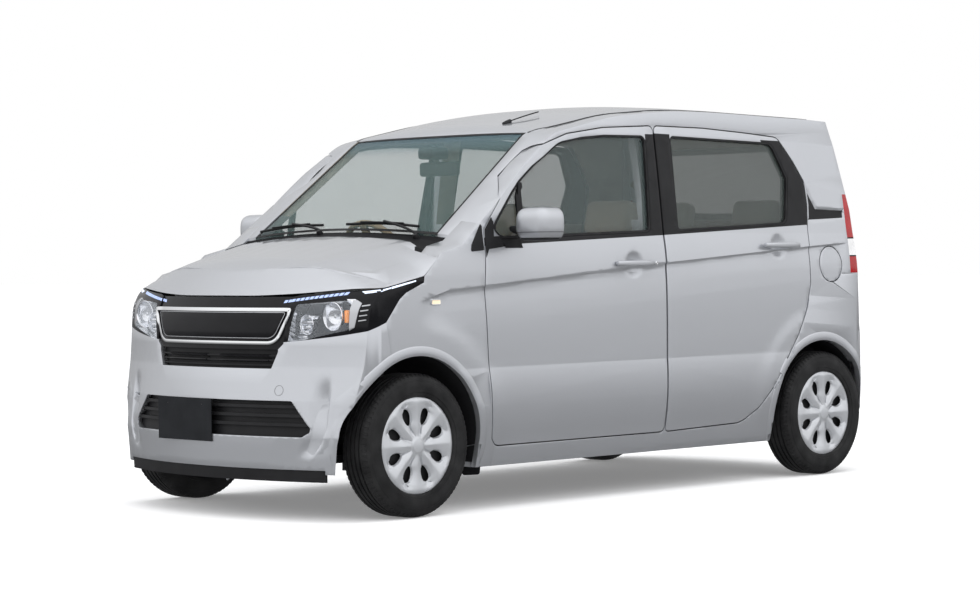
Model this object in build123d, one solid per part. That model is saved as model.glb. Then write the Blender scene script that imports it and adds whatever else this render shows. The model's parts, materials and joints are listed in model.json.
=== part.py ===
from build123d import *
from math import asin, atan2, cos, degrees, hypot, radians, sin, sqrt, tan
import os

# Kei car: X to the car's left, Y rearward, Z up. The origin is on the ground, at the middle of the
# length and the width. All sizes are in millimetres.

# ---------------------------------------------------------------- overall sizes
LENGTH = 3395.0
WIDTH = 1475.0
HEIGHT = 1655.0
FRONT_OVERHANG = 475.5
WHEELBASE = 2520.0
TRACK = 1305.0
GROUND_CLEARANCE = 150.0

Y_FRONT = -LENGTH / 2
Y_REAR = LENGTH / 2
AXLE_F = Y_FRONT + FRONT_OVERHANG
AXLE_R = AXLE_F + WHEELBASE
HALF = WIDTH / 2

# ---------------------------------------------------------------- body form
NOSE_RADIUS = 1700.0  # plan curve of the front face
TAIL_RADIUS = 3000.0  # plan curve of the rear face
FRONT_CORNER = 190.0  # plan corner of the front bumper
REAR_CORNER = 130.0
CROWN_RADIUS = 4500.0  # curve of the roof, hood and windshield across the car
ROOF_EDGE = 55.0  # round between the roof and the side

# Centre line of the hood, the windshield and the roof: y from the front axle, drop below the height.
HOOD_TIP = (-520.0, 900.0)
HOOD_BREAK = (-262.0, 665.0)
COWL_LINE = (250.0, 546.0)
SCREEN_TOP = (833.0, 112.0)
ROOF_LINE = ((1222.0, 33.0), (1572.0, 3.0))
# The same line behind: y from the rear axle, drop below the height.
ROOF_TAIL = ((-650.0, -0.5), (100.0, 14.0), (400.0, 34.0))

# Face of the nose and of the tail on the centre line: distance in from the end of the car, z.
NOSE_FACE = ((29.0, 60.0), (11.0, 150.0), (4.0, 320.0), (20.0, 456.0), (41.0, 585.0), (48.0, 660.0),
             (53.0, 745.0), (60.0, 805.0), (84.0, 852.0), (180.0, 960.0))
TAIL_FACE = ((60.0, 60.0), (22.0, 180.0), (0.0, 380.0), (0.0, 545.0), (30.0, 625.0), (48.0, 660.0),
             (62.0, 900.0), (84.0, 1190.0), (150.0, 1480.0), (200.0, 1640.0), (230.0, 1760.0))

# Cross-section of the side: distance in from the half width, z. Each row is the end of an arc
# that passes through the row before it.
SIDE_SECTION = ((60.0, 110.0), (12.0, 300.0), (1.0, 560.0), (0.5, 740.0), (4.0, 900.0),
                (10.0, 990.0), (25.0, 1085.0), (58.0, 1310.0), (97.0, 1545.0))


# ---------------------------------------------------------------- panels and gaps
PANEL = 24.0  # hood, fender, roof and bumper wall
DOOR_THICK = 82.0  # door below the belt
FRAME_THICK = 44.0  # window frames, pillars and rails
DOOR_STEP = 24.0  # outer skin of a door, ahead of its inset inner part
DOOR_INSET = 12.0
GAP = 5.0  # round every panel that opens
SEAT_GAP = 0.3  # between a moving piece and what carries it
DOOR_INNER_X = 585.0  # no door reaches further in
GLASS = 5.0
GLASS_SET = 12.0  # glass behind the outer face

# Wheels
TYRE_RADIUS = 278.0
TYRE_WIDTH = 155.0
HUB_Z = 276.0
RIM_RADIUS = 178.0
COVER_RADIUS = 195.0
COVER_STAND = 66.0  # wheel cover's face out from the tyre's middle plane
WHEEL_X = TRACK / 2
KINGPIN_X = 598.0
STEER_LIMIT = 35.0

# Arches: y from the axle, z, radius
ARCH_F = (-6.0, 283.0, 338.0)
ARCH_R = (-26.0, 272.0, 334.0)
ARCH_INNER_X = 398.0  # the front arch reaches in this far for the steered wheel
REAR_ARCH_INNER_X = 545.0
LINER = 4.0

# Stations along the body
B_CUT = AXLE_F + 1440.0
BELT_Z = 1085.0
SILL_TOP = 246.0
SILL_BOTTOM = 170.0
ROOF_JOINT_X = 556.0

# Door outlines in side view: y from the front axle, the B cut or the rear axle, then z.
FRONT_CUT = ((422.0, 250.0), (400.0, 280.0), (376.0, 590.0), (360.0, 890.0), (374.0, 1030.0),
             (380.0, 1104.0))
FRONT_SLOPE = ((502.0, 1239.0), (649.0, 1372.0), (765.0, 1446.0), (922.0, 1496.0), (1147.0, 1527.0))
B_LINE = ((-3.0, 250.0), (3.0, 1079.0), (22.0, 1543.0))
REAR_TOP = ((-734.0, 1541.0), (-463.0, 1528.0), (-229.0, 1513.0), (-138.0, 1407.0), (-78.0, 1318.0),
            (-76.0, 1215.0))
REAR_CUT = ((-90.0, 1123.0), (-98.0, 1000.0), (-99.0, 860.0), (-131.0, 750.0), (-198.0, 634.0),
            (-290.0, 515.0), (-384.0, 402.0), (-473.0, 320.0), (-558.0, 274.0), (-600.0, 262.0))

# Door windows
FRONT_WINDOW = ((502.0, 1064.0), (540.0, 1122.0), (700.0, 1300.0), (883.0, 1461.0), (1010.0, 1485.0),
                (1150.0, 1497.0))
FRONT_WINDOW_REAR = ((-30.0, 1500.0), (-72.0, 1090.0))
REAR_WINDOW_FRONT = ((96.0, 1092.0), (120.0, 1503.0))
REAR_WINDOW = ((-270.0, 1488.0), (-188.0, 1330.0), (-232.0, 1140.0), (-262.0, 1122.0))

# Hood, lamps, grille and bumper
HOOD_SIDE = ((-520.0, 851.0), (-374.0, 851.0), (-160.0, 886.0), (34.0, 924.0), (214.0, 1090.0),
             (214.0, 1400.0), (-520.0, 1400.0))
HOOD_REAR = (160.0, 214.0, 600.0)  # rear edge: y at the middle, y at the side, x of the side
SCREEN_BASE = (256.0, 276.0, 556.0)
ROOF_FRONT = (790.0, 833.0, 512.0)
LAMP_IN_TOP = (400.0, 851.0)
LAMP_IN_LOW = (384.0, 672.0)
LAMP_SIDE = ((-520.0, 851.0), (-374.0, 851.0), (-160.0, 886.0), (34.0, 924.0), (30.0, 900.0),
             (-66.0, 862.0), (-100.0, 838.0), (-172.0, 752.0), (-300.0, 705.0), (-400.0, 672.0),
             (-520.0, 650.0))
FENDER_SPLIT = ((-172.0, 752.0), (-146.0, 600.0), (-146.0, 0.0))
GRILLE_TOP = 851.0
GRILLE_LOW = 650.0
INTAKE = ((361.0, 640.0), (334.0, 577.0))
MOUTH = ((443.0, 456.0), (539.0, 345.0), (500.0, 320.0))
BAR_Z = (366.0, 400.0, 434.0)
PLATE = (330.0, 165.0, 3.0)
PLATE_X = -106.0
PLATE_Z = 374.0
CHIN = (592.0, 150.0, 196.0)

# Suspension and steering
KING_LOW = (596.0, 188.0)
KING_TOP = (478.0, 642.0)
STEERING = (-340.0, 782.0, 985.0)  # steering wheel centre: x, y from the front axle, z
STEERING_TILT = 27.0
STEERING_RADIUS = 180.0

# Inside
SEAT_X = 335.0
SEAT_BASE_Z = 300.0
CUSHION = (480.0, 540.0, 150.0)  # width, depth, height
SEAT_BACK = (480.0, 130.0, 620.0)
HEADREST = (270.0, 95.0, 150.0)
HIP = (1300.0, 560.0)  # front seat's cushion rear: y from the front axle, z of its top
REAR_HIP = (2380.0, 570.0)
BACK_LEAN = 14.0
FLOOR_Z = 232.0
REAR_FLOOR_Z = 372.0

# Windshield and tailgate
SCREEN_LOW_X = 556.0
SCREEN_TOP_X = 512.0
SCREEN_GLASS = 6.0
TAIL_SPLIT_X = 600.0
TAIL_GATE_Y = 132.0  # tailgate's forward edge from the rear axle
TAIL_GATE_LOW = 640.0
TAIL_LAMP = ((560.0, 905.0), (560.0, 1262.0))
REAR_BUMPER_LOW = 190.0
FUEL_LID = (52.0, 946.0, 80.0)  # centre from the rear axle, z, radius
GATE_WINDOW = (525.0, 505.0, 1160.0, 1500.0)


def drop(z):
    return HEIGHT - z


def at_x(face, low, high):
    """Extrudes a side-view face from x = low to x = high."""
    return extrude(Plane.YZ.offset(low) * face, amount=high - low, dir=(1, 0, 0))


def at_y(face, low, high):
    """Extrudes a front-view face from y = low to y = high."""
    return extrude(Plane.XZ.offset(-low) * face, amount=high - low, dir=(0, 1, 0))


def at_z(face, low, high):
    return extrude(Plane.XY.offset(low) * face, amount=high - low, dir=(0, 0, 1))


def outline(pts, radius=0):
    radii = [radius] * len(pts) if isinstance(radius, (int, float)) else list(radius)
    return make_face(FilletPolyline(*pts, radius=radii, close=True))


def block(x0, x1, y0, y1, z0, z1):
    return Pos((x0 + x1) / 2, (y0 + y1) / 2, (z0 + z1) / 2) * Box(abs(x1 - x0), abs(y1 - y0),
                                                                   abs(z1 - z0))


def rod(radius, start, end):
    """A round bar between two points."""
    a, b = Vector(*start), Vector(*end)
    return extrude(Plane(origin=a, z_dir=b - a) * Circle(radius), amount=(b - a).length)


def disc(radius, x0, x1, y, z):
    return Plane.YZ.offset(x0) * Pos(y, z, 0) * extrude(Circle(radius), amount=x1 - x0)


def flip(shape):
    return mirror(shape, about=Plane.YZ)


def solids(shape, least=200.0):
    """Keeps the solids of a result, without crumbs."""
    return Compound([s for s in shape.solids() if s.volume > least])


def main_solid(shape):
    return max(shape.solids(), key=lambda s: s.volume)


def shifted(base, rows):
    return [(base + y, z) for y, z in rows]


def parallel_face(pts, radii, inset):
    """A closed outline with rounded corners, drawn in by an inset along every side."""
    count = len(pts)
    area = sum(pts[k - 1][0] * pts[k][1] - pts[k][0] * pts[k - 1][1] for k in range(count))
    turn = 1 if area > 0 else -1
    moved, rounds = [], []
    for k in range(count):
        (ax, ay), (bx, by), (cx, cy) = pts[k - 1], pts[k], pts[(k + 1) % count]
        ux, uy = (bx - ax) / hypot(bx - ax, by - ay), (by - ay) / hypot(bx - ax, by - ay)
        vx, vy = (cx - bx) / hypot(cx - bx, cy - by), (cy - by) / hypot(cx - bx, cy - by)
        bend = (ux * vy - uy * vx) * turn
        share = inset * turn / (1 + ux * vx + uy * vy)
        moved.append((bx + share * (-uy - vy), by + share * (ux + vx)))
        rounds.append(max(radii[k] - inset if bend > 0 else radii[k] + inset, 0) if radii[k] else 0)
    return make_face(FilletPolyline(*moved, radius=rounds, close=True))


# ---------------------------------------------------------------- whole body
def crown_solid(inset):
    """Body below the hood, windshield and roof, which are curved across the car."""
    rows = (HOOD_TIP, HOOD_BREAK, COWL_LINE, SCREEN_TOP) + ROOF_LINE
    pts = [(AXLE_F - 1400, drop(HOOD_TIP[1]) - 700)]
    pts += [(AXLE_F + y, drop(z)) for y, z in rows]
    pts += [(AXLE_R + y, drop(z)) for y, z in ROOF_TAIL]
    low = -CROWN_RADIUS / 4
    pts += [(pts[-1][0] + 900, pts[-1][1] - 60), (pts[-1][0] + 900, low), (pts[0][0], low)]
    radii = [0, 60, 330, 0, 260, 1500, 2500, 6000, 4000] + [0] * (len(pts) - 9)
    face = parallel_face(pts, radii, inset)
    axis = Axis((0, 0, HEIGHT - CROWN_RADIUS), (0, 1, 0))
    return revolve(Plane.YZ * face, axis=axis, revolution_arc=40).rotate(axis, -20)


def end_cut(rows, radius, end, inset):
    """What lies outside a face of one end, which is a curve about an upright axis. end is -1 or 1."""
    y0 = end * LENGTH / 2
    pts = [(y0 - end * (d + inset), z) for d, z in rows]
    far = y0 + end * 400
    pts = [(far, rows[0][1] - 400), (pts[0][0], rows[0][1] - 400)] + pts
    pts += [(pts[-1][0] - end * 8, rows[-1][1] + 700), (far, rows[-1][1] + 700)]
    radii = [0, 0, 20] + [90] * (len(pts) - 6) + [0, 0, 0]
    axis = Axis((0, y0 - end * radius, 0), (0, 0, 1))
    face = make_face(FilletPolyline(*pts, radius=radii, close=True))
    return revolve(Plane.YZ * face, axis=axis, revolution_arc=56).rotate(axis, -28)


def plan_face(inset):
    """Plan outline: straight sides, arcs across the ends and round corners."""
    half = HALF - inset
    rows = []
    for end, big, small in ((-1, NOSE_RADIUS, FRONT_CORNER), (1, TAIL_RADIUS, REAR_CORNER)):
        y0 = end * (LENGTH / 2 - inset + 4)
        big, small = big - inset, small - inset
        yb = y0 - end * big
        dx = half - small
        dy = sqrt((big - small) ** 2 - dx ** 2)
        tip = (dx * big / (big - small), yb + end * dy * big / (big - small))
        mid_angle = (atan2(dy, dx) + 0) / 2
        mid = (dx + small * cos(mid_angle), yb + end * (dy + small * sin(mid_angle)))
        rows.append(((half, yb + end * dy), mid, tip, (0, y0)))
    (s0, m0, t0, c0), (s1, m1, t1, c1) = rows
    edges = [ThreePointArc(s0, m0, t0), ThreePointArc(t0, c0, (-t0[0], t0[1])),
             ThreePointArc((-t0[0], t0[1]), (-m0[0], m0[1]), (-s0[0], s0[1])),
             Line((-s0[0], s0[1]), (-s1[0], s1[1])),
             ThreePointArc((-s1[0], s1[1]), (-m1[0], m1[1]), (-t1[0], t1[1])),
             ThreePointArc((-t1[0], t1[1]), c1, t1), ThreePointArc(t1, m1, s1), Line(s1, s0)]
    return make_face(Wire(edges))


def section_face(inset):
    """Front view of the body: tucked sills, full doors, a belt line and sides that lean in above it."""
    rows = [(HALF - inset - d, z) for d, z in SIDE_SECTION]
    edges = []
    for k in range(0, len(rows) - 2, 2):
        edges.append(ThreePointArc(rows[k], rows[k + 1], rows[k + 2]))
    (xa, za), (xb, zb) = rows[-2], rows[-1]
    top = (xb + (xb - xa) * 0.7, zb + (zb - za) * 0.7)
    edges.append(Line(rows[-1], top))
    edges.append(Line(top, (-top[0], top[1])))
    edges.append(Line((-top[0], top[1]), (-rows[-1][0], rows[-1][1])))
    for k in range(len(rows) - 1, 1, -2):
        a, b, c = rows[k], rows[k - 1], rows[k - 2]
        edges.append(ThreePointArc((-a[0], a[1]), (-b[0], b[1]), (-c[0], c[1])))
    edges.append(Line((-rows[0][0], rows[0][1]), rows[0]))
    return make_face(Wire(edges))


def body_form(inset=0.0):
    """The whole closed body, drawn in by an inset."""
    form = at_z(plan_face(inset), 40, HEIGHT + 100)
    form &= at_y(section_face(inset), Y_FRONT - 50, Y_REAR + 50)
    form &= crown_solid(inset)
    form -= end_cut(NOSE_FACE, NOSE_RADIUS, -1, inset)
    form -= end_cut(TAIL_FACE, TAIL_RADIUS, 1, inset)
    return main_solid(form)



FORMS = {}


def form(inset):
    if inset not in FORMS:
        FORMS[inset] = body_form(inset)
    return FORMS[inset]


def wall(outer, inner):
    """Body wall between two depths below the outer surface."""
    if (outer, inner) not in FORMS:
        FORMS[outer, inner] = form(outer) - form(inner)
    return FORMS[outer, inner]


LEFT = block(0.01, HALF + 400, Y_FRONT - 500, Y_REAR + 500, -100, HEIGHT + 300)


def bowed(y_mid, y_side, x_side, low=-100.0, high=2200.0, far=3000.0):
    """Everything behind an upright wall that bows forward at the middle of the car."""
    sag = y_side - y_mid
    radius = (x_side ** 2 + sag ** 2) / (2 * sag)
    end = 820.0
    y_end = y_mid + radius - sqrt(radius ** 2 - end ** 2)
    edges = [ThreePointArc((-end, y_end), (0, y_mid), (end, y_end)), Line((end, y_end), (end, far)),
             Line((end, far), (-end, far)), Line((-end, far), (-end, y_end))]
    return at_z(make_face(Wire(edges)), low, high)


def front_door_rows():
    pts = shifted(AXLE_F, FRONT_CUT) + shifted(AXLE_F, FRONT_SLOPE)
    pts += shifted(B_CUT, B_LINE[::-1])
    return pts, [45, 0, 0, 0, 0, 40, 0, 0, 120, 120, 0, 25, 0, 30]


def rear_door_rows():
    pts = [(B_CUT + GAP + y, z) for y, z in B_LINE] + shifted(AXLE_R, REAR_TOP)
    pts += shifted(AXLE_R, REAR_CUT)
    return pts, [20, 0, 25, 0, 0, 60, 30, 30, 0, 0, 0, 60, 60, 80, 80, 60, 50, 50, 0]


def door_slab(rows, radii, grow=0.0):
    """Door or door opening from a side outline: a skin layer and an inset layer behind it."""
    skin = parallel_face(rows, radii, GAP / 2 + grow)
    inner = parallel_face(rows, radii, GAP / 2 + grow + DOOR_INSET)
    return at_x(skin, DOOR_INNER_X, HALF + 60), at_x(inner, DOOR_INNER_X, HALF + 60)


def front_window_rows():
    pts = shifted(AXLE_F, FRONT_WINDOW) + shifted(B_CUT, FRONT_WINDOW_REAR)
    return pts, [30, 0, 0, 100, 0, 0, 30, 25]


def rear_window_rows():
    pts = shifted(B_CUT, REAR_WINDOW_FRONT) + shifted(AXLE_R, REAR_WINDOW)
    return pts, [25, 30, 60, 30, 30, 20]


def door(rows, radii, window, window_radii):
    skin, inner = door_slab(rows, radii)
    belt = block(0, HALF + 60, Y_FRONT, Y_REAR, 0, BELT_Z + 4)
    upper = block(0, HALF + 60, Y_FRONT, Y_REAR, BELT_Z + 4, 2000)
    outer = wall(0, DOOR_STEP) & skin
    low = wall(DOOR_STEP, DOOR_THICK) & inner & belt
    high = wall(DOOR_STEP, FRAME_THICK) & inner & upper
    hole = at_x(parallel_face(window, window_radii, 0), 250, HALF + 60)
    body = (outer + low + high) - hole
    glass = wall(GLASS_SET, GLASS_SET + GLASS) & hole
    return main_solid(body), main_solid(glass)


def arch(spec, axle, inner=ARCH_INNER_X):
    """Wheel opening on the left side, open to the ground."""
    y, z, radius = axle + spec[0], spec[1], spec[2]
    hole = disc(radius, inner, HALF + 300, y, z)
    return hole + block(inner, HALF + 300, y - radius, y + radius, -60, z)


def liner(spec, axle, inner, depth):
    """Lining of a wheel opening: an arch with an inner wall, and skirts outboard of the suspension."""
    y, z, radius = axle + spec[0], spec[1], spec[2]
    big = radius + LINER
    ring = disc(big, inner - LINER, HALF, y, z) - disc(radius, inner, HALF, y, z)
    ring &= block(0, HALF, y - 900, y + 900, z, z + 900)
    ring -= block(inner - 10, inner, y - 900, y + 900, 0, z + 50)
    skirt = block(560, HALF, y - big, y + big, SILL_BOTTOM + 20, z)
    skirt -= block(0, HALF, y - radius, y + radius, 0, z)
    return (ring + skirt) & form(depth)


def zones():
    """Regions of the left half of the body, each by its own outline."""
    z = {}
    z["front_door"] = at_x(parallel_face(*front_door_rows(), -GAP / 2), DOOR_INNER_X - 6, HALF + 60)
    z["rear_door"] = at_x(parallel_face(*rear_door_rows(), -GAP / 2), DOOR_INNER_X - 6, HALF + 60)
    hood_side = at_x(outline(shifted(AXLE_F, HOOD_SIDE)), -10, HALF + 60)
    z["hood"] = hood_side - bowed(AXLE_F + HOOD_REAR[0], AXLE_F + HOOD_REAR[1], HOOD_REAR[2])
    lamp = at_x(outline(shifted(AXLE_F, LAMP_SIDE)), 300, HALF + 60)
    wedge = outline([LAMP_IN_TOP, (HALF + 60, LAMP_IN_TOP[1] + 90), (HALF + 60, LAMP_IN_LOW[1] - 30),
                     LAMP_IN_LOW])
    z["lamp"] = lamp & at_y(wedge, Y_FRONT - 60, AXLE_F + 120)
    grille = outline([(0, GRILLE_TOP), LAMP_IN_TOP, LAMP_IN_LOW, (360, GRILLE_LOW), (0, GRILLE_LOW)])
    z["grille"] = at_y(grille, Y_FRONT - 60, AXLE_F - 250)
    split = shifted(AXLE_F, FENDER_SPLIT)
    nose = outline([(Y_FRONT - 80, GRILLE_TOP + 3)] + [(split[0][0], GRILLE_TOP + 3)] + split
                   + [(Y_FRONT - 80, 0)])
    z["bumper"] = at_x(nose, -10, HALF + 60)
    back = shifted(AXLE_F, ((418.0, 236.0), (390.0, 280.0), (368.0, 590.0), (352.0, 890.0),
                            (366.0, 1030.0), (370.0, 1108.0), (340.0, 1160.0), (270.0, 1118.0)))
    fender = outline([(Y_FRONT, 100), (AXLE_F + 418, 100)] + back + [(AXLE_F + 214, 1200),
                                                                    (Y_FRONT, 1200)])
    z["fender"] = at_x(fender, 380, HALF + 60)
    z["fender"] -= block(0, 612, AXLE_F + 190, AXLE_F + 600, 900, 1400)
    base = bowed(AXLE_F + SCREEN_BASE[0], AXLE_F + SCREEN_BASE[1], SCREEN_BASE[2])
    top = bowed(AXLE_F + ROOF_FRONT[0], AXLE_F + ROOF_FRONT[1], ROOF_FRONT[2])
    screen = outline([(0, 900), (SCREEN_BASE[2] + 20, 900), (SCREEN_BASE[2], 1089),
                      (ROOF_FRONT[2], 1513), (ROOF_FRONT[2] - 10, 1700), (0, 1700)])
    z["screen"] = (at_y(screen, Y_FRONT, AXLE_F + 1000) & base) - top
    z["cowl"] = block(-10, 612, Y_FRONT, AXLE_F + 330, 900, 1300) - base
    z["roof"] = (block(-10, ROOF_JOINT_X, AXLE_F + 700, AXLE_R + TAIL_GATE_Y, 1300, 1800) & top)
    gate = block(-10, TAIL_SPLIT_X, AXLE_R + TAIL_GATE_Y, Y_REAR + 50, TAIL_GATE_LOW, 1800)
    z["gate"] = gate
    lamp_x = TAIL_SPLIT_X
    z["tail_lamp"] = block(lamp_x, HALF + 60, AXLE_R + 190, Y_REAR + 50, TAIL_LAMP[0][1],
                           TAIL_LAMP[1][1])
    rear = outline([(AXLE_R + 217, 100), (AXLE_R + 217, 505), (AXLE_R + 247, TAIL_GATE_LOW),
                    (Y_REAR + 60, TAIL_GATE_LOW), (Y_REAR + 60, 100)])
    z["rear_bumper"] = at_x(rear, -10, HALF + 60)
    return z


def both(left):
    """A piece across the middle from its left half."""
    return main_solid((left & LEFT_TOUCH) + flip(left & LEFT_TOUCH))


LEFT_TOUCH = block(0, HALF + 400, Y_FRONT - 500, Y_REAR + 500, -100, HEIGHT + 300)


def skins():
    """Outer panels of the left half, cut from the body wall along the real joints."""
    z = zones()
    arches = arch(ARCH_F, AXLE_F) + arch(ARCH_R, AXLE_R, REAR_ARCH_INNER_X)
    panel = (wall(0, PANEL) & LEFT_TOUCH) - arches
    frame = (wall(0, FRAME_THICK) & LEFT_TOUCH) - arches
    doors = z["front_door"] + z["rear_door"]
    out = {}
    hood_side = at_x(parallel_face(shifted(AXLE_F, HOOD_SIDE), [0] * 7, GAP), -10, HALF + 60)
    hood_side += at_x(outline(shifted(AXLE_F, ((-700, 856), (-374, 856), (-374, 1400), (-700, 1400)))),
                      -10, HALF + 60)
    rear = bowed(AXLE_F + HOOD_REAR[0] - GAP, AXLE_F + HOOD_REAR[1] - GAP, HOOD_REAR[2])
    out["hood"] = both((panel & hood_side) - rear)
    rest = panel - z["hood"]
    lamp_wall = ((wall(0, 60) & LEFT_TOUCH) - arches - z["hood"]) & z["lamp"]
    out["headlamp"] = main_solid(lamp_wall)
    rest = rest - z["lamp"]
    grille_wall = (wall(6, 40) & LEFT_TOUCH) - z["hood"]
    out["grille"] = both((grille_wall & z["grille"]) - z["lamp"])
    rest = rest - z["grille"]
    nose = (rest & z["bumper"]) - block(-10, HALF + 60, Y_FRONT - 60, 0, 0, CHIN[2] - 16)
    out["front_bumper"] = both(nose - block(-10, CHIN[0], Y_FRONT - 60, 0, 0, CHIN[2]))
    rest = rest - z["bumper"]
    out["fender"] = main_solid((rest & z["fender"]) - z["cowl"] - z["screen"] - doors)
    done = z["hood"] + z["lamp"] + z["grille"] + z["bumper"] + z["fender"]
    out["windshield"] = both(wall(4, 4 + SCREEN_GLASS) & z["screen"])
    out["cowl"] = both(((wall(10, 60) & LEFT_TOUCH) & z["cowl"]) - z["hood"] - z["screen"])
    out["roof"] = both(panel & z["roof"])
    gate = block(-10, TAIL_SPLIT_X - GAP, AXLE_R + TAIL_GATE_Y + GAP, Y_REAR + 50,
                 TAIL_GATE_LOW + GAP, 1800)
    out["gate"] = both(frame & gate)
    out["tail_lamp"] = main_solid(frame & z["tail_lamp"])
    low = block(-10, HALF + 60, Y_FRONT, Y_REAR + 60, 0, REAR_BUMPER_LOW)
    out["rear_bumper"] = both((panel & z["rear_bumper"]) - low)
    side = frame - doors - block(-10, HALF + 60, Y_FRONT, Y_REAR + 60, 0, SILL_BOTTOM)
    for name in ("hood", "lamp", "grille", "bumper", "fender", "screen", "cowl", "roof", "gate",
                 "tail_lamp", "rear_bumper"):
        side = side - z[name]
    out["side"] = main_solid(side)
    out["fender"] -= block(-10, HALF + 60, Y_FRONT, Y_REAR, 0, SILL_BOTTOM)
    return out, z


# ---------------------------------------------------------------- body structure
def hinge_leaves(rows, radii, base, heights):
    """Hinge leaves that end just short of a door's inset front face."""
    clear = at_x(parallel_face(rows, radii, GAP / 2 + DOOR_INSET - SEAT_GAP), 300, HALF + 60)
    leaves = base - clear
    slabs = [block(0, HALF, Y_FRONT, Y_REAR, z, z + 54) for z in heights]
    return (leaves & slabs[0]) + (leaves & slabs[1])


def pillars():
    """Sill, hinge pillar and centre pillar of the left side, which stand inboard of the doors."""
    arch_end = AXLE_F + ARCH_F[0] + ARCH_F[2]
    rear_start = AXLE_R + ARCH_R[0] - ARCH_R[2]
    sill = block(560, HALF, arch_end + LINER, rear_start - LINER, SILL_BOTTOM, SILL_TOP - 6)
    sill &= form(FRAME_THICK - 10)
    hinge = block(590, HALF, arch_end + 8, AXLE_F + 346, SILL_BOTTOM, BELT_Z) & form(PANEL)
    y0, y1 = B_CUT - 45, B_CUT + 60
    low = block(500, HALF, y0, y1, SILL_TOP - 20, BELT_Z + 20)
    joint = block(500, HALF, y0, y1, BELT_Z + 12, BELT_Z + 60)
    high = block(400, HALF, y0, y1, BELT_Z + 40, HEIGHT)
    rail = block(ROOF_JOINT_X - 60, HALF, y0, y1, 1556, HEIGHT)
    post = wall(DOOR_THICK + 8, DOOR_THICK + 46) & low
    post += wall(FRAME_THICK + 6, DOOR_THICK + 46) & joint
    post += wall(FRAME_THICK + 6, DOOR_THICK + 6) & high
    post += wall(PANEL, DOOR_THICK + 6) & rail
    base = block(600, HALF, arch_end + 8, AXLE_F + 430, 0, HEIGHT) & form(DOOR_STEP + 6)
    leaves = hinge_leaves(*front_door_rows(), base, (380, 820))
    base = (form(50) - form(DOOR_THICK + 12)) & block(500, HALF, B_CUT - 6, B_CUT + 40, 0, BELT_Z)
    leaves += hinge_leaves(*rear_door_rows(), base, (380, 820))
    striker = (form(DOOR_THICK + SEAT_GAP) - form(DOOR_THICK + 12)) & block(500, HALF, B_CUT - 44, B_CUT - 22,
                                                                          860, 900)
    return sill + hinge + post + leaves + striker


def underbody():
    """Floor, side rails, front cross member, bulkhead, hood stops and the raised rear floor."""
    f_end = AXLE_F + ARCH_F[0] + ARCH_F[2]
    r_start = AXLE_R + ARCH_R[0] - ARCH_R[2] - 72
    pan = block(-560, 560, f_end - 30, r_start, 192, FLOOR_Z)
    front = arch((ARCH_F[0], ARCH_F[1], ARCH_F[2] + LINER), AXLE_F, ARCH_INNER_X - LINER)
    pan = pan - front - flip(front)
    cross = block(-394, 394, Y_FRONT + 110, f_end - 30, 200, FLOOR_Z)
    bulkhead = block(-558, 558, f_end + 12, f_end + 24, FLOOR_Z, 985)
    bulkhead += block(-589, 589, f_end + 12, f_end + 24, SILL_TOP, 985)
    rail = block(330, 390, Y_FRONT + 120, f_end + 12, 420, 500)
    rail += block(330, 390, Y_FRONT + 120, Y_FRONT + 150, FLOOR_Z, 420)
    rail += block(340, 380, AXLE_F - 250, AXLE_F - 220, 500, 1200) & form(PANEL + SEAT_GAP)
    rail += block(425, 485, r_start - 20, AXLE_R - 430 - SEAT_GAP, 225, REAR_FLOOR_Z)
    floor = block(-REAR_ARCH_INNER_X + LINER, REAR_ARCH_INNER_X - LINER, r_start, Y_REAR - 105,
                  REAR_FLOOR_Z - 40, REAR_FLOOR_Z)
    floor += block(-REAR_ARCH_INNER_X + LINER, REAR_ARCH_INNER_X - LINER, r_start - 20, r_start, 192,
                   REAR_FLOOR_Z)
    return pan + cross + bulkhead + rail + flip(rail) + floor


def dashboard():
    y0 = AXLE_F + ARCH_F[0] + ARCH_F[2] + 24
    rows = [(y0, 700.0), (y0, 984.0), (AXLE_F + 420, 1040.0), (AXLE_F + 560, 1050.0),
            (AXLE_F + 660, 1000.0), (AXLE_F + 680, 900.0), (AXLE_F + 620, 760.0), (AXLE_F + 520, 680.0)]
    body = at_x(outline(rows, [0, 30, 60, 60, 40, 40, 60, 40]), -594, 594)
    return main_solid(body & form(DOOR_THICK + 10))


def steering_frame():
    x, y, z = STEERING
    return Plane(origin=(x, AXLE_F + y, z), x_dir=(1, 0, 0),
                 z_dir=(0, cos(radians(STEERING_TILT)), sin(radians(STEERING_TILT))))


def steering_wheel():
    """Rim, three spokes and a boss, built facing +Z and set on the tilted column."""
    rim = Solid.make_torus(STEERING_RADIUS, 14)
    boss = Pos(0, 0, -20) * Cylinder(62, 46)
    spokes = boss
    for angle in (0, 180, 270):
        spokes += Rot(0, 0, angle) * (Pos(STEERING_RADIUS / 2, 0, -8) * Box(STEERING_RADIUS - 10, 38, 14))
    return steering_frame() * (spokes + rim)


def steering_column():
    y_len = 190
    return steering_frame() * (Pos(0, 0, -43 - SEAT_GAP - y_len / 2) * Cylinder(38, y_len))


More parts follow.
